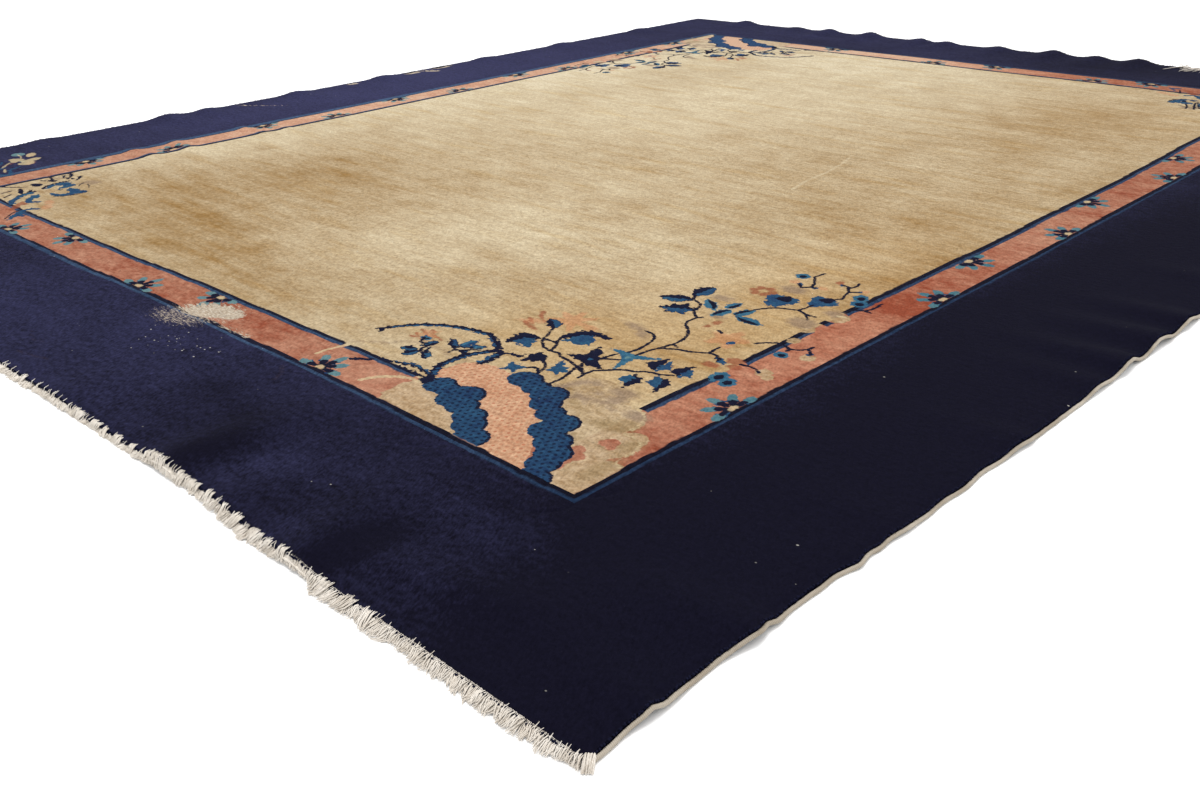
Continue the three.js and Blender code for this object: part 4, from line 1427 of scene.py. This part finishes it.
def lying_back(seed, count, low, high):
    """Loose strands of the far end that have fallen back over the wool."""
    chance = np.random.default_rng(seed)
    paths = []
    for x in chance.uniform(low, high, count):
        back = chance.uniform(4, 26) + (chance.uniform(20, 70) if chance.random() < 0.5 else 0)
        sideways = chance.normal(4, 12)
        high_up = chance.uniform(10.2, 12.5) + (chance.uniform(2, 7) if back < 12 else 0)
        thick = 1.4 if x < 650 else 1.0
        paths.append([(laid(x + sideways * t, HALF_LENGTH + 2 - back * t,
                            8 + (high_up - 8) * min(1, 3 * t)).tolist(), share * thick)
                      for t, share in ((0, 1.0), (0.3, 1.1), (0.65, 1.0), (1, 0.6))])
    return paths


# The fringe yarn's lines=1.2 paints shade along lines between its strands.
fringe_yarn = cotton_finish("cotton_fringe", tone(268, 260, 249), tone(230, 217, 200),
                            wrap=2.4, slant=0.55, lines=1.2)
near_paths = fringe(-1, 11, (0, 1, 2)) + corner_tuft(3)
far_paths = fringe(1, 23, (0, 1)) + lying_back(9, 46, 566, 650) + lying_back(19, 60, 650, 800)
warp_ends_near = threads("warp_ends_near", near_paths, STRAND_RADIUS / 1000, 4, fringe_yarn)
warp_ends_far = threads("warp_ends_far", far_paths, STRAND_RADIUS / 1000, 4, fringe_yarn)

# %% The flat woven strips that hold the warps
WEB_TILES, WEB_THICKNESS = (274, 3), 2.0


def woven_end(name, outward):
    bm = slab(*WEB_TILES, PILE_WIDTH, WEB_WIDTH, WEB_THICKNESS,
              aside=outward * (CLEARANCE + WEB_WIDTH / 2))
    mesh = bpy.data.meshes.new(name)
    bm.to_mesh(mesh)
    bm.free()
    strip_x, strip_y, strip_z = corners_of(mesh).T
    places = laid(strip_x, np.full(len(strip_x), outward * HALF_LENGTH), strip_z)
    places[:, 1] += strip_y / 1000
    lay(mesh, places)
    print(name, len(mesh.polygons), "faces")
    return add(name, mesh, fringe_yarn)


woven_end_near = woven_end("woven_end_near", -1)
woven_end_far = woven_end("woven_end_far", 1)

# %% [markdown]
# ## The ragged edge of the wool
# Seen from the side, the pile ends in a row of single tufts that lean out over
# the cord and the fringe. A row of short, thick tubes makes each side's edge.

# %% Edge tufts
edge_wool = Finish("edge_wool")
edge_place = edge_wool.node("ShaderNodeTexCoord", output="Object")
fine = {0: edge_place, "Scale": 400.0}
edge_noise = edge_wool.noise(
    edge_wool.node("ShaderNodeVectorMath", {"operation": "SCALE"}, fine), 2.0)
edge_colour = edge_wool.mix(edge_noise, tone(18, 18, 32), tone(32, 34, 58))
edge_wool.surface({"Base Color": edge_colour, **DULL})
TUFT_RADIUS, TUFT_PITCH, NEAR_TUFT_PITCH = 1.5, 2.1, 1.6
NEAR_DROP = 1.2  # how much lower the near end's tufts lie, under the climbing strands


def tuft_row(length, pitch, point_at, out_x, out_y):
    """Tufts along one side. point_at gives the flat point for a place along it."""
    near = out_y < 0
    count = int(length / pitch)
    paths = []
    for k in range(count):
        fx, fy = point_at(length * ((k + chance.uniform(0.1, 0.9)) / count - 0.5))
        inset = chance.uniform(0.8, 4.5)
        root = laid(fx - out_x * inset, fy - out_y * inset, 3.0)
        lean = chance.uniform(-0.5, 1.5) + (chance.uniform(0.8, 2.4) if near else 0)
        drop = chance.uniform(0, 2.2) + (NEAR_DROP if near else 0)
        tip = laid(fx, fy, PILE_THICKNESS - drop) + np.array([out_x, out_y, 0]) * lean / 1000
        along = np.array([abs(out_y), abs(out_x), 0]) * chance.uniform(-1.5, 1.5) / 1000
        paths.append([(root, 1.1), (tip + along, 0.75)])
    return paths


chance = np.random.default_rng(41)
tufts = tuft_row(PILE_LENGTH, TUFT_PITCH, lambda at: (HALF_WIDTH, at), 1, 0)
tufts += tuft_row(PILE_LENGTH, TUFT_PITCH, lambda at: (-HALF_WIDTH, at), -1, 0)
tufts += tuft_row(PILE_WIDTH, NEAR_TUFT_PITCH, lambda at: (at, -HALF_LENGTH), 0, -1)
tufts += tuft_row(PILE_WIDTH, TUFT_PITCH, lambda at: (at, HALF_LENGTH), 0, 1)
edge_tufts = threads("edge_tufts", tufts, TUFT_RADIUS / 1000, 6, edge_wool.material)

# %% [markdown]
# ## Putting the rug together
# All pieces ride on the one body, "root". The pile stands for the CAD carpet, the
# cords for the CAD cords and the strands for the CAD fringes.

# %% Every piece on the one body, and the CAD solids hidden
rug_pile = add("rug_pile", pile_mesh, wool.material)
for piece, slot in [(rug_pile, "wool_pile"), (edge_tufts, "wool_pile"),
                    (selvedge_right, "cotton_selvedge"), (selvedge_left, "cotton_selvedge"),
                    (warp_ends_near, "cotton_fringe"), (warp_ends_far, "cotton_fringe"),
                    (woven_end_near, "cotton_fringe"), (woven_end_far, "cotton_fringe")]:
    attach(piece, "root")
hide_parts("pile_carpet")
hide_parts("selvedge_cord_right")
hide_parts("selvedge_cord_left")
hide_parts("fringe_near")
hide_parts("fringe_far")
